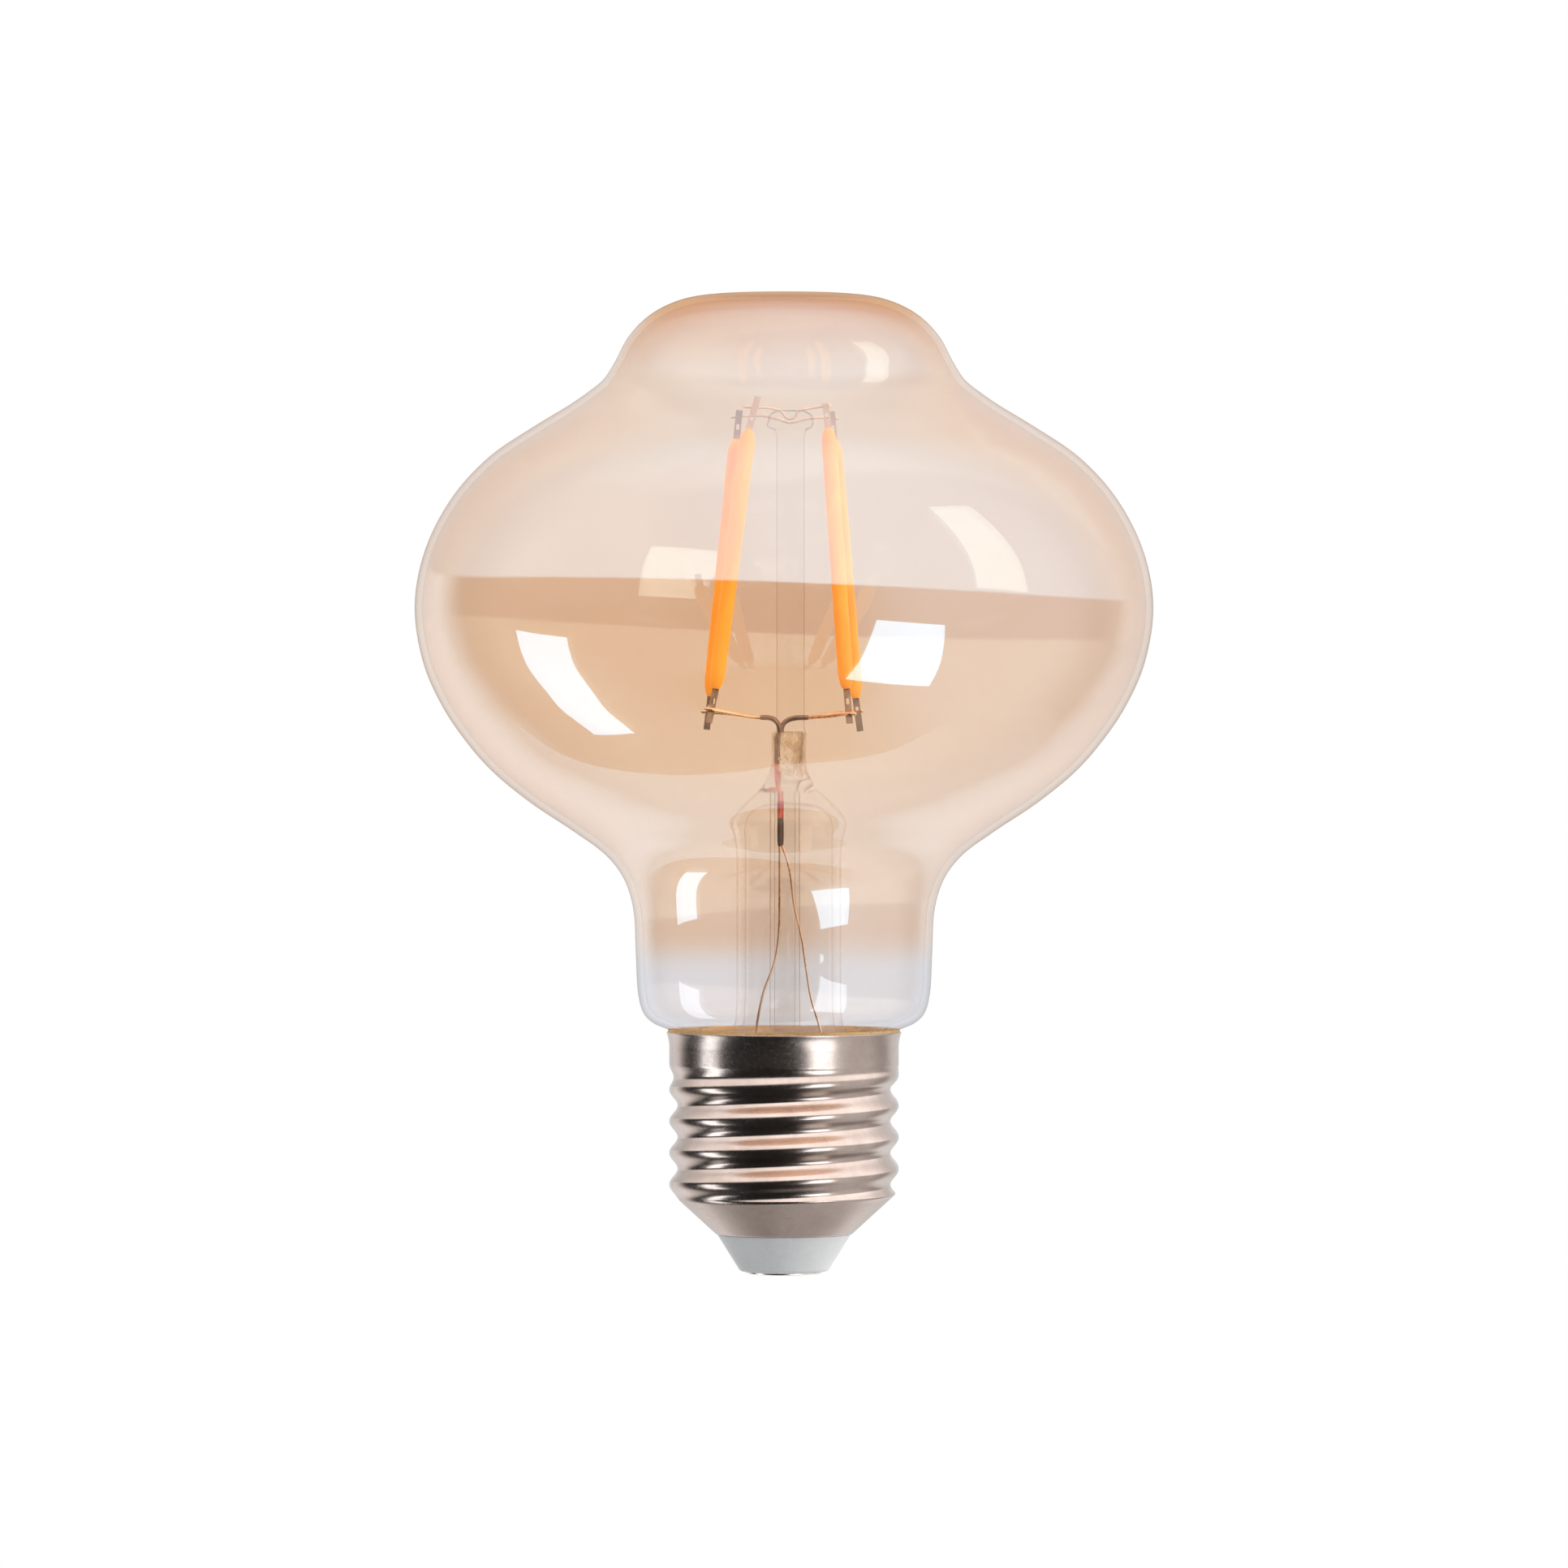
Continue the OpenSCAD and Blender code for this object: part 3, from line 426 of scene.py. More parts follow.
# ---------- globe ----------
BULB_H, GLOBE_R, GLOBE_Z, CROWN_R, NECK_R, WALL = 112.3, 42.3, 76.6, 18.0, 17.0, 0.8
glass_points = [
    (0, BULB_H), (9.6, BULB_H - 0.2), (CROWN_R - 5.1, BULB_H - 1.05), (CROWN_R - 2.3, BULB_H - 2.65),
    (CROWN_R - 0.1, BULB_H - 5), (CROWN_R + 1.4, BULB_H - 7.8), (20.7, BULB_H - 9.8),
    (22.4, BULB_H - 11.2), (24.4, BULB_H - 12.6), (28.5, BULB_H - 15.1),
    (GLOBE_R - 8.5, GLOBE_Z + 17), (GLOBE_R - 4.3, GLOBE_Z + 12.4),
    (GLOBE_R - 1.2, GLOBE_Z + 6.4), (GLOBE_R, GLOBE_Z), (GLOBE_R - 1, GLOBE_Z - 6.6),
    (GLOBE_R - 3.2, GLOBE_Z - 11.6), (GLOBE_R - 5.9, GLOBE_Z - 15.6), (33.4, 57.6), (29, 54),
    (23.9, 50.6), (NECK_R + 3.4, 48), (NECK_R + 1.4, 45.4), (NECK_R + 0.3, 42), (NECK_R, 37),
    (NECK_R - 0.18, 33), (16.65, 31.7), (16.4, 30.6), (15.9, 29.6), (15, 28.8), (13.8, 28.25),
    (12.75, 27.8), (12.3, 27), (12.2, 25.8), (12.2, 24.2)]
outside = smooth(glass_points, 7)
inside = beside(outside, WALL)
AROUND_GLOBE = 224
verts, faces = lathe([tuple(p) for p in reversed(outside)] + [tuple(p) for p in inside], AROUND_GLOBE)
globe = piece("globe", verts, faces, outer_glass, "glass_envelope", slot="amber_glass")
globe.data.materials.append(inner_glass)
first_inside = (len(outside) - 1) * AROUND_GLOBE + 1
for face in globe.data.polygons:
    face.material_index = int(min(face.vertices) >= first_inside)

# ---------- screw cap ----------
SKIRT_TOP, LIP_Z, LIP_R, CONE_SLOPE = 27.8, 4.65, 7.85, 1.095
THREAD_R, THREAD_DEPTH, PITCH, CREST_Z = 13.15, 0.95, 3.629, 19.35
FADE_FROM, FADE_TO, SHEET = 21.6, 24.0, 0.3
RIM_FROM, RIM_OUT = 26, 0.35
LEVEL_STEP = 0.12
# below CONE_TOP the sheet slopes, so its sideways thickness is CONE_WALL times the sheet
CONE_TOP, CONE_WALL = 9, 1.48


def cap_radius(z, a):
    """The sheet's outer radius: a right-hand thread that fades into the skirt, and a cone below."""
    fade = min(1.0, max(0.0, (FADE_TO - z) / (FADE_TO - FADE_FROM)))
    rim = RIM_OUT * max(0.0, (z - RIM_FROM) / (SKIRT_TOP - RIM_FROM)) ** 2
    wave = (1 - math.cos(2 * math.pi * (z - CREST_Z) / PITCH - a)) / 2
    wall = THREAD_R + rim - THREAD_DEPTH * fade * wave ** 1.12
    cone = LIP_R + CONE_SLOPE * (z - LIP_Z)
    soft = 0.28
    h = max(soft - abs(wall - cone), 0.0) / soft
    return min(wall, cone) - h * h * soft / 4


def cap_shell():
    """Up the outside of the sheet, over its rim and down the inside; each level is (z, shift)."""
    levels = [LIP_Z + LEVEL_STEP * i for i in range(int((SKIRT_TOP - 0.2 - LIP_Z) / LEVEL_STEP) + 1)]
    rim = [(SKIRT_TOP - 0.12, 0.0), (SKIRT_TOP, -0.1)]
    outline = [(z, 0.0) for z in levels] + rim
    outline += [(z, -SHEET - d) for z, d in reversed(rim)]
    outline += [(z, -SHEET * (CONE_WALL if z < CONE_TOP else 1.0)) for z in reversed(levels)]
    outline += [(LIP_Z - 0.06, -0.32), (LIP_Z - 0.08, -0.14)]
    around = 288
    verts, faces = [], []
    for z, shift in outline:
        for k in range(around):
            a = 2 * math.pi * k / around
            r = cap_radius(z, a) + shift
            verts.append((r * math.cos(a), r * math.sin(a), z))
    n = len(outline)
    for i in range(n):
        for k in range(around):
            a, b = i * around, ((i + 1) % n) * around
            j = (k + 1) % around
            faces.append([a + k, a + j, b + j, b + k])
    return verts, faces


verts, faces = cap_shell()
piece("screw_cap", verts, faces, nickel, "screw_shell", slot="nickel")

cement_inner = [tuple(p) for p in outside if 24.3 < p.y < 28.1]
cement_outline = cement_inner + [(12.9, 27.95), (13.05, 27.6), (12.85, 27.0), (12.72, 26.4), (12.72, 24.4)]


def lumpy(r, z, a):
    bump = 0.05 * noise.noise(Vector((r * math.cos(a), r * math.sin(a), z)) * 1.7)
    high = bump * max(0.0, min(1.0, (z - 27.0)))
    return r * math.cos(a), r * math.sin(a), z + high


verts, faces = lathe(cement_outline, 160, shape=lumpy)
piece("cement_ring", verts, faces, cement_finish, "basing_cement", slot="cement")

FOOT, PIN_R, HEAD_R = 0.3, 1.5, 4.3
insulator_outline = (
    [(PIN_R, FOOT), (4.5, FOOT)]
    + [tuple(p) for p in smooth([(4.6, FOOT), (4.95, 0.4), (5.16, 0.58), (5.34, 0.88)], 4)]
    + [(5.9, 1.75), (6.5, 2.72), (7.1, 3.7), (7.5, 4.34)]
    + [tuple(p) for p in smooth([(7.6, 4.48), (7.64, 4.56), (7.58, 4.61)], 3)]
    + [(7.34, 4.62), (7.34, 4.76), (8.85, 6.1), (8.85, 6.7), (4.2, 6.7), (4.2, 6.2), (PIN_R, 6.2)])
verts, faces = lathe(insulator_outline, 128)
piece("insulator", verts, faces, insulator_finish, "cap_insulator", slot="insulator")

contact_outline = (
    [tuple(p) for p in smooth([(0, 0.10), (0.9, 0.10), (1.25, 0.06), (1.6, 0.01), (2.4, 0.0),
                               (3.9, 0.0), (4.16, 0.04), (4.28, 0.13), (HEAD_R, 0.22)], 4)]
    + [(HEAD_R, FOOT), (PIN_R, FOOT), (PIN_R, 6.9), (1.2, 7.2), (0, 7.2)])
verts, faces = lathe(contact_outline, 96, loop=False)
piece("contact", verts, faces, contact_metal, "centre_contact", slot="nickel")

# ---------- glass mount ----------
STEM_X, FLARE_R, TUBE_WALL, SWELL = 0.55, 6.0, 0.95, 6.6
PRESS_TOP, HALF_X, HALF_Y, DOME_Z = 62.2, 2.0, 4.1, 52.2
FLANGE_R, NECK_END = 12.05, 24.2
ROD_X, ROD_R = 0.75, 1.6
EXHAUST_X, EXHAUST_R, EXHAUST_BORE, EXHAUST_TIP, EXHAUST_TOP = 0.1, 1.72, 1.2, 21.5, 56.6


def level(curve, z):
    """The radius at height z on a curve of (radius, z) points that climbs."""
    for p, q in zip(curve, curve[1:]):
        if p[1] <= z <= q[1]:
            f = (z - p[1]) / max(q[1] - p[1], 1e-9)
            return p[0] + (q[0] - p[0]) * f
    return curve[-1][0] if z > curve[-1][1] else curve[0][0]


def stem():
    side = [tuple(p) for p in smooth([
        (FLARE_R, DOME_Z - 5), (FLARE_R + 0.1, DOME_Z - 3), (SWELL, DOME_Z - 0.6),
        (SWELL - 0.2, DOME_Z + 0.5), (HALF_Y + 1, DOME_Z + 2), (HALF_Y + 0.2, DOME_Z + 3.4),
        (HALF_Y, DOME_Z + 4.8), (HALF_Y, PRESS_TOP - 0.8), (HALF_Y - 0.5, PRESS_TOP - 0.15),
        (HALF_Y - 1.2, PRESS_TOP)], 6)]
    pinch = [tuple(p) for p in smooth([
        (SWELL + 0.6, DOME_Z - 2), (SWELL + 0.1, DOME_Z - 0.4), (SWELL - 0.5, DOME_Z + 0.6),
        (HALF_X + 2.9, DOME_Z + 1.9), (HALF_X + 1.5, DOME_Z + 3.2), (HALF_X + 0.5, DOME_Z + 4.8),
        (HALF_X, DOME_Z + 6.4), (HALF_X, PRESS_TOP - 0.5), (HALF_X - 0.15, PRESS_TOP - 0.15),
        (HALF_X - 0.4, PRESS_TOP)], 6)]
    foot = [(FLANGE_R - 0.3, NECK_END - 1.0), (FLANGE_R - 0.05, NECK_END - 0.8),
            (FLANGE_R, NECK_END - 0.5), (FLANGE_R - 0.1, NECK_END - 0.1), (FLANGE_R - 0.5, NECK_END)]
    flare = [tuple(p) for p in smooth([
        (10.9, NECK_END), (9.6, 24.35), (8.1, 25.1), (6.9, 26.7), (6.2, 28.8), (FLARE_R, 31.5)], 5)]
    straight = [(FLARE_R, z) for z in range(33, 47)]
    outer = foot + flare + straight + side + [(0, PRESS_TOP)]
    bore = FLARE_R - TUBE_WALL
    roof = [tuple(p) for p in smooth([(bore, 49.6), (bore + 0.05, 51), (4.85, 52.3), (4.1, 53.2),
                                      (2.7, 53.85), (0, 54.1)], 6)]
    under = [tuple(p) for p in smooth([
        (10.9, NECK_END - 1), (9.2, 23.4), (7.2, 24.5), (5.9, 26.4), (5.25, 28.8), (bore, 31.5)], 5)]
    inner = list(reversed(under + [(bore, z) for z in range(33, 49)] + roof))

    def press(r, z, a):
        narrow = min(level(pinch, z) if z > DOME_Z - 2 else r, r)
        wide = r if r < 1e-6 else narrow / max(level(side, z), narrow) if z > DOME_Z - 5 else 1.0
        px = r * wide
        power = 2.0 if z < DOME_Z else 2.0 + 0.9 * min(1.0, (z - DOME_Z) / 6)
        c, s = math.cos(a), math.sin(a)
        scale = (abs(c) ** power + abs(s) ** power) ** (-1 / power)
        return px * scale * c, r * scale * s, z

    v1, f1 = lathe(outer, 96, STEM_X, loop=False, shape=press)
    v2, f2 = lathe(inner, 96, STEM_X, loop=False)
    verts, faces = joined((v1, f1), (v2, f2))
    last = len(v1) + len(v2) - 96
    for k in range(96):
        n = (k + 1) % 96
        faces.append([last + k, last + n, n, k])
    return verts, faces


verts, faces = stem()
piece("stem_flare_glass", verts, faces, stem_clear, "stem_flare", slot="clear_glass")

tip = [tuple(p) for p in smooth([(0, EXHAUST_TIP), (0.6, EXHAUST_TIP + 0.15),
                                 (1.25, EXHAUST_TIP + 0.8), (EXHAUST_R, EXHAUST_TIP + 2.4),
                                 (EXHAUST_R, EXHAUST_TIP + 4)], 5)]
bore_end = [tuple(p) for p in smooth([(EXHAUST_BORE, EXHAUST_TIP + 4), (EXHAUST_BORE, EXHAUST_TIP + 2.8),
                                      (0.8, EXHAUST_TIP + 1.7), (0, EXHAUST_TIP + 1.2)], 5)]
exhaust_outline = tip + [(EXHAUST_R, EXHAUST_TOP), (EXHAUST_BORE, EXHAUST_TOP)] + bore_end
verts, faces = lathe(exhaust_outline, 64, EXHAUST_X, loop=False)
piece("exhaust_glass", verts, faces, tube_clear, "exhaust_tube", slot="clear_glass")

BUTTON_R, BUTTON_LOW, BUTTON_TOP = 2.6, 96.7, 98.95


def knobbly(r, z, a):
    """The button's glass is worked by hand, so it is a little lumpy."""
    swell = max(0.0, min(1.0, (z - BUTTON_LOW + 0.6) / 0.8))
    n = noise.noise(Vector((2.6 * math.cos(a), 2.6 * math.sin(a), z * 1.1)))
    k = 1 + 0.15 * swell * n
    return r * k * math.cos(a), r * k * math.sin(a), z + 0.12 * swell * n * (r < 2.2)


rod_outline = (
    [(0, PRESS_TOP - 0.5), (ROD_R + 0.25, PRESS_TOP - 0.5), (ROD_R + 0.12, PRESS_TOP),
     (ROD_R + 0.03, PRESS_TOP + 0.3), (ROD_R, PRESS_TOP + 0.7)]
    + [(ROD_R, 64 + 2 * i) for i in range(16)]
    + [tuple(p) for p in smooth([(ROD_R, BUTTON_LOW - 0.6), (ROD_R + 0.25, BUTTON_LOW),
                                 (BUTTON_R - 0.1, BUTTON_LOW + 0.4), (BUTTON_R, BUTTON_LOW + 1.1),
                                 (BUTTON_R - 0.15, BUTTON_TOP - 0.5), (BUTTON_R - 0.8, BUTTON_TOP - 0.05),
                                 (0.6, BUTTON_TOP), (0, BUTTON_TOP)], 5)])
verts, faces = lathe(rod_outline, 64, ROD_X, loop=False, shape=knobbly)
piece("support_rod_glass", verts, faces, tube_clear, "support_rod", slot="clear_glass")

# ---------- filaments ----------
SIDES = ["front_left", "front_right", "back_left", "back_right"]
FEET = [Vector(p) for p in ((-7.8, -3.2, 67.1), (7.15, -3.2, 67.1), (-8.45, 6, 66.3), (8.25, 6, 66.1))]
HEADS = [Vector(p) for p in ((-4, -1.3, 97), (5.05, -1.3, 97), (-5.45, 1.3, 95.7), (5.75, 1.3, 95.4))]
TOP_BEND = [8, -2, 0, 0]
FILAMENT_L, COAT_R, TAPER = 29.9, 0.88, 1.7


def on_filament(i, s):
    return FEET[i] + (HEADS[i] - FEET[i]).normalized() * s


def coat(i):
    half = [tuple(p) for p in smooth([(0.42, 0.0), (0.62, 0.35), (0.8, 1.0), (COAT_R, TAPER)], 5)]
    outline = [(0, 0)] + half + [(COAT_R, 2.2 + 0.6 * k) for k in range(43)]
    outline += [(r, FILAMENT_L - z) for r, z in reversed(half)] + [(0, FILAMENT_L)]
    up = (HEADS[i] - FEET[i]).normalized()
    u = up.cross(Vector((0, 1, 0))).normalized()
    w = up.cross(u)

    def shape(r, z, a):
        n = noise.noise(Vector((math.cos(a), math.sin(a), z * 0.45 + 20 * i)))
        k = 1 + 0.035 * n
        p = FEET[i] + up * z + (u * math.cos(a) + w * math.sin(a)) * r * k
        return p.x, p.y, p.z

    verts, faces = lathe(outline, 40, loop=False, shape=shape)
    for index, v in enumerate(verts):
        if v[0] == 0.0 and v[1] == 0.0:
            verts[index] = tuple(FEET[i] + up * v[2])
    return verts, faces


for i, side in enumerate(SIDES):
    verts, faces = coat(i)
    piece("phosphor_" + side, verts, faces, phosphor, "coat_" + side, slot="phosphor")

# ---------- wires ----------
WIRE_R, ANCHOR_R, LEAD_R = 0.21, 0.15, 0.29


def tab_point(i, s):
    bend = math.sin(math.radians(TOP_BEND[i]))
    return on_filament(i, s) + Vector((bend * 2.5, 0.55, 0))


def V(x, y, z):
    return Vector((x, y, z))


tops = [tab_point(0, FILAMENT_L + 2.6), tab_point(1, FILAMENT_L + 2.6),
        tab_point(2, FILAMENT_L + 2.7), tab_point(3, FILAMENT_L + 2.7)]
anchor_front = smooth([tops[0] + V(-1.2, 0, 0.12), tops[0], (-1.7, -0.5, 99.25),
                       (-0.3, -0.3, 98.85), (0.1, -0.25, 98.3), (0.75, -0.2, 98), (1.3, -0.25, 98.3),
                       (1.6, -0.3, 98.85), (3, -0.5, 99.2), tops[1], tops[1] + V(0.25, 0, 0.02)], 8)
anchor_back = smooth([tops[2] + V(-0.8, 0, -0.1), tops[2], (-2.6, 1.3, 98.4), (-1, 0.9, 98.1),
                      (0.7, 0.75, 97.6), (2.4, 0.9, 98), (3.6, 1.3, 98.15), tops[3],
                      tops[3] + V(0.7, 0, -0.1)], 8)
welds = [on_filament(0, -2.4) + V(-0.12, -0.1, 0), on_filament(1, -2.9) + V(0, -0.1, 0),
         on_filament(2, -1.9) + V(0, 0.56, 0), on_filament(3, -1.6) + V(0, 0.56, 0)]
left_end, right_end = V(-2.5, -0.95, 63.8), V(2.65, 1.9, 63.8)
left_fork, right_fork = left_end + V(-0.26, 0.1, 0), right_end + V(0.27, -0.07, 0)
branch_left = smooth([welds[0] + V(-0.7, 0, 0.06), welds[0], (-5.2, -2.1, 64.15),
                      left_fork + V(-0.35, -0.3, 0.02), left_fork, left_fork + V(-0.35, 0.4, 0.02),
                      (-5.4, 2.7, 64.1), welds[2], welds[2] + V(-0.8, 0.3, 0.05)], 8)
branch_right = smooth([welds[1] + V(0.75, 0, 0), welds[1], (5.2, -0.9, 63.95),
                       right_fork + V(0.35, -0.5, 0.02), right_fork, right_fork + V(0.45, 0.35, 0.02),
                       (5.6, 4.1, 64.2), welds[3], welds[3] + V(0.6, 0.1, 0.05)], 8)
SEAL_TOP, SEAL_FOOT, SLEEVE_FOOT = 58.6, 52.3, 49.3
left_at, right_at = (-0.5, -2.4), (-0.3, 2.4)
lead_left = [V(*left_at, SEAL_TOP)] + smooth([
    (*left_at, PRESS_TOP), (-0.53, -2.38, 62.65), (-0.72, -2.25, 63.15), (-1.12, -1.95, 63.55),
    (-1.7, -1.5, 63.77), left_end], 7)
lead_right = [V(*right_at, SEAL_TOP)] + smooth([
    (*right_at, PRESS_TOP), (-0.26, 2.4, 62.65), (-0.02, 2.4, 63.15), (0.55, 2.37, 63.55),
    (1.4, 2.22, 63.76), right_end], 7)
outer_left = smooth([(*left_at, SLEEVE_FOOT), (-0.5, -2.4, 44.4), (-0.6, -2.45, 39),
                     (-1.1, -2.4, 35.8), (-2.3, -2.2, 32.6), (-3.1, -2.1, 28.8), (-3.7, -1.9, 24.5),
                     (-4.3, -1.2, 21.6), (-4.6, -0.7, 19.8)], 6)
outer_right = smooth([(*right_at, SLEEVE_FOOT), (0.6, 2.4, 46.4), (1.2, 2.4, 42), (2, 2.35, 38.5),
                      (2.5, 2.3, 35.2), (3.1, 2.2, 31.6), (4, 2.1, 28.6), (5, 1.9, 24.6),
                      (6, 1.2, 21.6), (6.2, 0.75, 20)], 6)


def ball_end(route, r, ball, share=0.02):
    """A wire whose far end melted into a small ball."""
    return tube(route, lambda f: r if f < 1 - share else r + (ball - r) * math.sin(
        math.pi * min(1.0, (f - 1 + share) / share) * 0.6))


for name, mesh, finish, node, slot in (
        ("anchor_front", ball_end(anchor_front, ANCHOR_R, 0.38, 0.045), anchor_finish,
         "anchor_wire_front", "lead_nickel"),
        ("anchor_back", tube(anchor_back, ANCHOR_R), anchor_finish, "anchor_wire_back", "lead_nickel"),
        ("lead_left", tube(lead_left, LEAD_R), lead_metal, "inner_lead_left", "lead_nickel"),
        ("lead_right", tube(lead_right, LEAD_R), lead_metal, "inner_lead_right", "lead_nickel"),
        ("branch_left", tube(branch_left, WIRE_R), copper_metal, "branch_wire_left", "copper"),
        ("branch_right", tube(branch_right, WIRE_R), copper_metal, "branch_wire_right", "copper"),
        ("copper_left", tube(outer_left, 0.14, 10), copper_metal, "outer_lead_left", "copper"),
        ("copper_right", tube(outer_right, 0.14, 10), copper_metal, "outer_lead_right", "copper")):
    piece(name, *mesh, finish, node, slot=slot)

for side, at in (("left", left_at), ("right", right_at)):
    seal = [(*at, SEAL_FOOT + (SEAL_TOP - SEAL_FOOT) * k / 12) for k in range(13)]
    piece("seal_" + side, *tube(seal, lambda f: 0.25 + 0.02 * math.sin(9 * f)), seal_metal,
          "seal_wire_" + side, slot="seal_metal")
    sleeve = [(*at, SLEEVE_FOOT + (SEAL_FOOT - SLEEVE_FOOT) * k / 10) for k in range(11)]
    piece("sleeve_" + side, *tube(sleeve, lambda f: 0.25 + 0.02 * math.sin(3.1 * f)), sleeve_metal,
          "lead_sleeve_" + side, slot="sleeve")

# ---------- finishes of the CAD nodes that stay ----------
finishes = {
    "strip": solid_finish("strip_ceramic", rgb(0.78, 0.77, 0.72), rgb(0.88, 0.87, 0.83), (0.4, 0.6)),
    "chips": solid_finish("led_die", rgb(0.30, 0.42, 0.62), rgb(0.50, 0.62, 0.80), (0.08, 0.2)),
    "top_tab": anchor_metal,
    "foot_tab": tab_metal,
    "driver_board": solid_finish("green_mask", rgb(0.02, 0.13, 0.06), rgb(0.03, 0.19, 0.09),
                                 (0.25, 0.4), grain=1200.0),
    "wireless_board": solid_finish("blue_mask", rgb(0.01, 0.02, 0.09), rgb(0.02, 0.035, 0.15),
                                   (0.25, 0.4), grain=1200.0),
    "bridge_rectifier": solid_finish("epoxy_black", rgb(0.012, 0.012, 0.013), rgb(0.03, 0.03, 0.032),
                                     (0.45, 0.65), grain=2500.0, bump=0.5),
    "smoothing_capacitor": solid_finish("capacitor_sleeve", rgb(0.01, 0.014, 0.045),
                                        rgb(0.02, 0.025, 0.075), (0.18, 0.3)),
    "inductor_core": solid_finish("ferrite", rgb(0.02, 0.018, 0.018), rgb(0.05, 0.045, 0.045),
                                  (0.6, 0.8), grain=2500.0, bump=0.6),
    "inductor_winding": copper_metal,
    "fuse_resistor": solid_finish("resistor_lacquer", rgb(0.10, 0.25, 0.30), rgb(0.18, 0.36, 0.42),
                                  (0.2, 0.35)),
    "chip_parts": solid_finish("ceramic_parts", rgb(0.26, 0.18, 0.11), rgb(0.42, 0.32, 0.22),
                               (0.35, 0.5)),
    "wireless_shield": solid_finish("tin_plate", rgb(0.55, 0.55, 0.56), rgb(0.70, 0.70, 0.71),
                                    (0.2, 0.4), 1.0, 1500.0),
    "wireless_antenna": copper_metal,
    "live_lead": solid_finish("red_insulation", rgb(0.38, 0.015, 0.012), rgb(0.52, 0.03, 0.02),
                              (0.3, 0.45)),
    "neutral_lead": solid_finish("black_insulation", rgb(0.01, 0.01, 0.011), rgb(0.025, 0.025, 0.027),
                                 (0.3, 0.45)),
}
finishes["driver_chip"] = finishes["bridge_rectifier"]
for node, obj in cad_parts.items():
    family = node if node in finishes else next((k for k in finishes if node.startswith(k)), None)
    if family:
        if not obj.data.materials:
            obj.data.materials.append(None)
        for index in range(len(obj.data.materials)):
            obj.data.materials[index] = finishes[family]

# ---------- floor, light and camera ----------
def direction(azimuth, elevation):
    """Azimuth 0 points from the lamp to the camera and 90 to its right."""
    a, e = math.radians(azimuth), math.radians(elevation)
    return Vector((math.sin(a) * math.cos(e), -math.cos(a) * math.cos(e), math.sin(e)))


LAMP_MIDDLE = Vector((0, 0, 0.068))
SOFTBOX_TINT = (0.85, 0.94, 1.0)
SOFTBOX, CEILING, BACKDROP, SHEET_LIGHT, SIDE_FILL, DARK = 4.7, 3.1, 1.9, 1.1, 1.2, 0.03


def softbox(name, middle, away, turn, wide, tall):
    """A glowing panel beside the lamp. middle is the direction of its middle as seen from the lamp;
    turn is its roll, its pitch (top towards the lamp) and its yaw (right side away), in degrees."""
    way = direction(*middle)
    roll, pitch, yaw = (math.radians(angle) for angle in turn)
    up = (Vector((0, 0, 1)) - way * way.z).normalized()
    right = way.cross(up)
    spin = Quaternion(way, roll)
    right, up = spin @ right, spin @ up
    up = Quaternion(right, pitch) @ up
    right = Quaternion(up, yaw) @ right
    data = bpy.data.lights.new(name, "AREA")
    data.shape = "RECTANGLE"
    data.size, data.size_y = wide, tall
    data.color = SOFTBOX_TINT
    data.energy = SOFTBOX * wide * tall * math.pi
    light = bpy.data.objects.new(name, data)
    bpy.context.scene.collection.objects.link(light)
    light.location = LAMP_MIDDLE + way * away
    light.rotation_mode = "QUATERNION"
    light.rotation_quaternion = Matrix((-right, up, up.cross(right))).transposed().to_quaternion()
    light.visible_camera = False
    light.visible_transmission = False


softbox("softbox_right", (39, -25), 0.49, (0, -15.5, -9.5), 0.21, 0.29)
softbox("softbox_left", (-85.5, -38.5), 0.53, (-12, 39.5, 21), 0.155, 0.495)


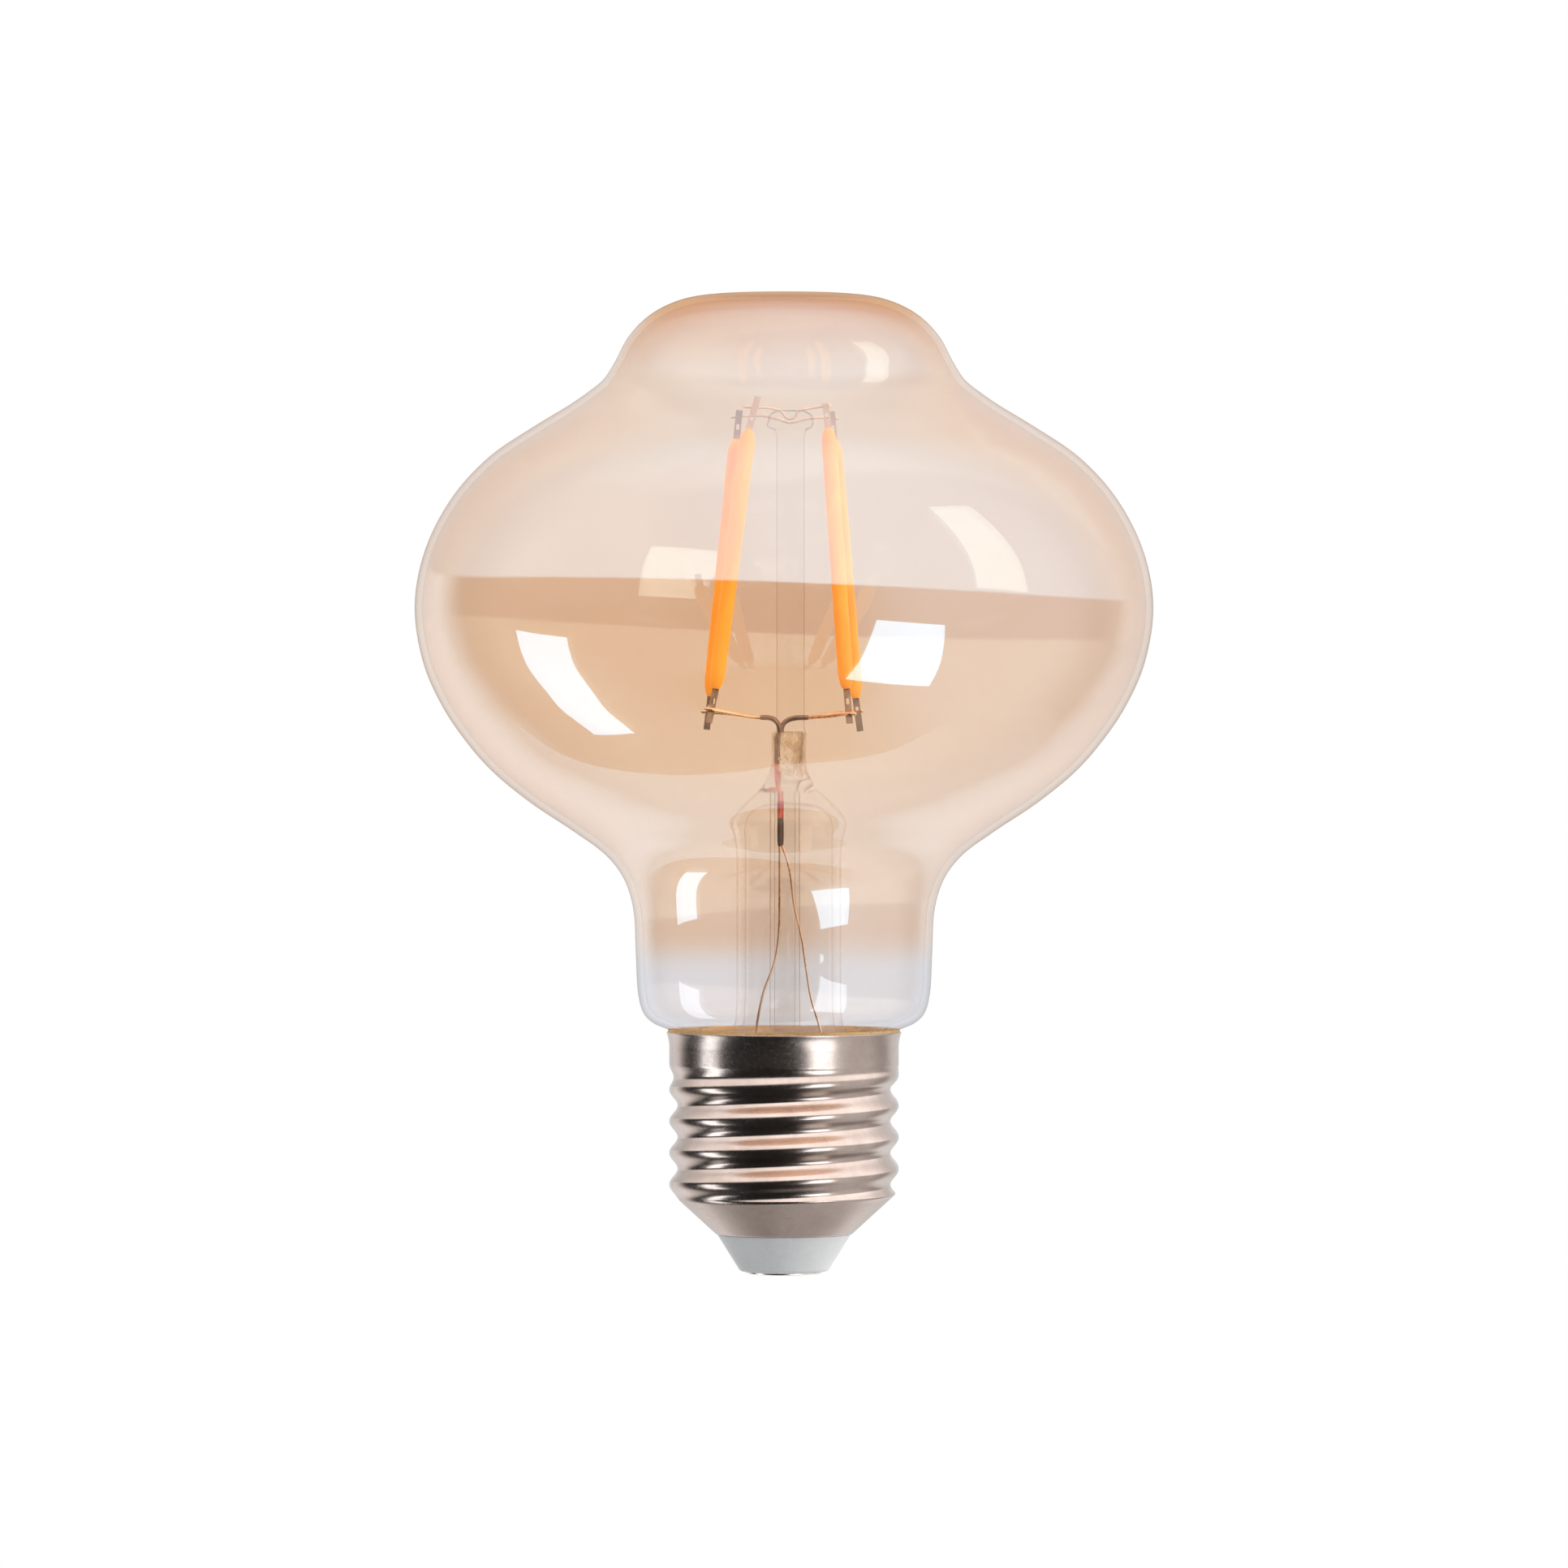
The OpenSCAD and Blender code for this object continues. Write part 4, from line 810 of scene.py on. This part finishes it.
def world_light():
    """Camera and transmission rays see plain white. All others see the studio that the glass and
    metal mirror: ceiling, backdrop, a pale sheet under the lamp, a fill on the right, dark in front."""
    world = bpy.data.worlds.new("studio")
    bpy.context.scene.world = world
    world.use_nodes = True
    tree = world.node_tree
    tree.nodes.clear()

    def add(kind, inputs=None, **props):
        node = tree.nodes.new(kind)
        for key, value in props.items():
            setattr(node, key, value)
        for key, value in (inputs or {}).items():
            if isinstance(value, bpy.types.NodeSocket):
                tree.links.new(value, node.inputs[key])
            else:
                node.inputs[key].default_value = value
        return node

    def ramp(value, low, high, to_low, to_high):
        return add("ShaderNodeMapRange", {"Value": value, "From Min": low, "From Max": high,
                                          "To Min": to_low, "To Max": to_high},
                   interpolation_type="SMOOTHSTEP").outputs[0]

    def combine(kind, a, b):
        return add("ShaderNodeMath", {0: a, 1: b}, operation=kind).outputs[0]

    way = add("ShaderNodeTexCoord").outputs["Generated"]
    parts = add("ShaderNodeSeparateXYZ", {0: way})
    x, y, z = parts.outputs

    def over(fx, fy, fz, edge, soft):
        """1 where fx*x + fy*y + fz*z passes edge, 0 below it."""
        total = combine("ADD", combine("ADD", combine("MULTIPLY", x, fx), combine("MULTIPLY", y, fy)),
                        combine("MULTIPLY", z, fz))
        return ramp(total, edge - soft, edge + soft, 0.0, 1.0)

    up = over(0.079, 0.107, 1.0, 0.174, 0.015)
    back = combine("MULTIPLY", over(0.0, 1.0, -0.15, 0.60, 0.16), ramp(y, 0.70, 1.0, 1.0, 0.5))
    sides = combine("MULTIPLY", ramp(x, 0.25, 0.75, 1.0, 0.72), ramp(x, -0.75, -0.25, 0.88, 1.0))
    back = combine("MULTIPLY", back, sides)
    left_edge = combine("MULTIPLY", combine("MINIMUM", x, 0.0), 0.80)
    past_edge = combine("ADD", combine("ADD", y, left_edge), combine("MULTIPLY", z, -0.07))
    sheet = combine("MULTIPLY", ramp(past_edge, -0.010, 0.010, 0.0, 1.0), ramp(z, -0.35, -0.60, 0.0, 1.0))
    right = over(1.0, 0.0, 0.0, 0.45, 0.30)
    low = combine("MAXIMUM", combine("MULTIPLY", back, BACKDROP), combine("MULTIPLY", sheet, SHEET_LIGHT))
    low = combine("MAXIMUM", low, combine("MULTIPLY", right, ramp(y, 0.1, 0.5, SIDE_FILL, SIDE_FILL * 0.65)))
    low = combine("MAXIMUM", low, DARK)
    ceiling = combine("MULTIPLY", up, ramp(y, 0.0, 0.95, CEILING, CEILING * 0.36))
    ceiling = combine("MULTIPLY", ceiling, ramp(x, -0.85, 0.15, 0.78, 1.0))
    light = combine("ADD", ceiling, combine("MULTIPLY", low, combine("SUBTRACT", 1.0, up)))
    path = add("ShaderNodeLightPath")
    seen = combine("MAXIMUM", path.outputs["Is Camera Ray"], path.outputs["Is Transmission Ray"])
    strength = add("ShaderNodeMix", {0: seen, 2: light, 3: 1.0}, data_type="FLOAT").outputs[0]
    glow = add("ShaderNodeBackground", {"Color": (1, 1, 1, 1), "Strength": strength})
    out = add("ShaderNodeOutputWorld")
    tree.links.new(glow.outputs[0], out.inputs["Surface"])


world_light()

floor_mat = Mat("pale_floor")
pale = floor_mat.add("ShaderNodeBsdfPrincipled", {
    "Base Color": floor_mat.mix(floor_mat.noise(3.0), rgb(0.80, 0.80, 0.80), rgb(0.84, 0.84, 0.84)),
    "Roughness": 0.7}).outputs[0]
see_through = floor_mat.add("ShaderNodeBsdfTransparent").outputs[0]
under = floor_mat.add("ShaderNodeNewGeometry").outputs["Backfacing"]
floor_mat.finish(floor_mat.add("ShaderNodeMixShader", {0: under, 1: pale, 2: see_through}).outputs[0])
floor_mesh = bpy.data.meshes.new("floor")
FLOOR_Z, FLOOR_R, FLOOR_SIDES = -0.55, 2.2, 64
turns = [math.tau * k / FLOOR_SIDES for k in range(FLOOR_SIDES)]
floor_mesh.from_pydata([(FLOOR_R * math.cos(a), FLOOR_R * math.sin(a), FLOOR_Z) for a in turns], [],
                       [list(range(FLOOR_SIDES))])
floor_mesh.materials.append(floor_mat.mat)
floor = bpy.data.objects.new("floor", floor_mesh)
bpy.context.scene.collection.objects.link(floor)
floor.visible_glossy = floor.visible_diffuse = floor.visible_shadow = False
floor.visible_transmission = False

PICTURE_WIDE, VIEW_Z, CAMERA_AWAY, CAMERA_Z, SENSOR = 0.1797, 0.05618, 1.035, 0.063, 36.0
camera_data = bpy.data.cameras.new("camera")
camera_data.sensor_width = SENSOR
camera_data.lens = SENSOR * CAMERA_AWAY / PICTURE_WIDE
camera_data.clip_start, camera_data.clip_end = 0.1, 50.0
camera = bpy.data.objects.new("camera", camera_data)
bpy.context.scene.collection.objects.link(camera)
camera.rotation_mode = "QUATERNION"
camera.location = Vector((0.0, -CAMERA_AWAY, CAMERA_Z))
camera.rotation_quaternion = (Vector((0.0, 0.0, VIEW_Z)) - camera.location).to_track_quat("-Z", "Y")
bpy.context.scene.camera = camera

settings = bpy.context.scene
settings.view_settings.view_transform = "Standard"
settings.cycles.max_bounces = 32
settings.cycles.transmission_bounces = 24
settings.cycles.glossy_bounces = 8
settings.cycles.transparent_max_bounces = 48
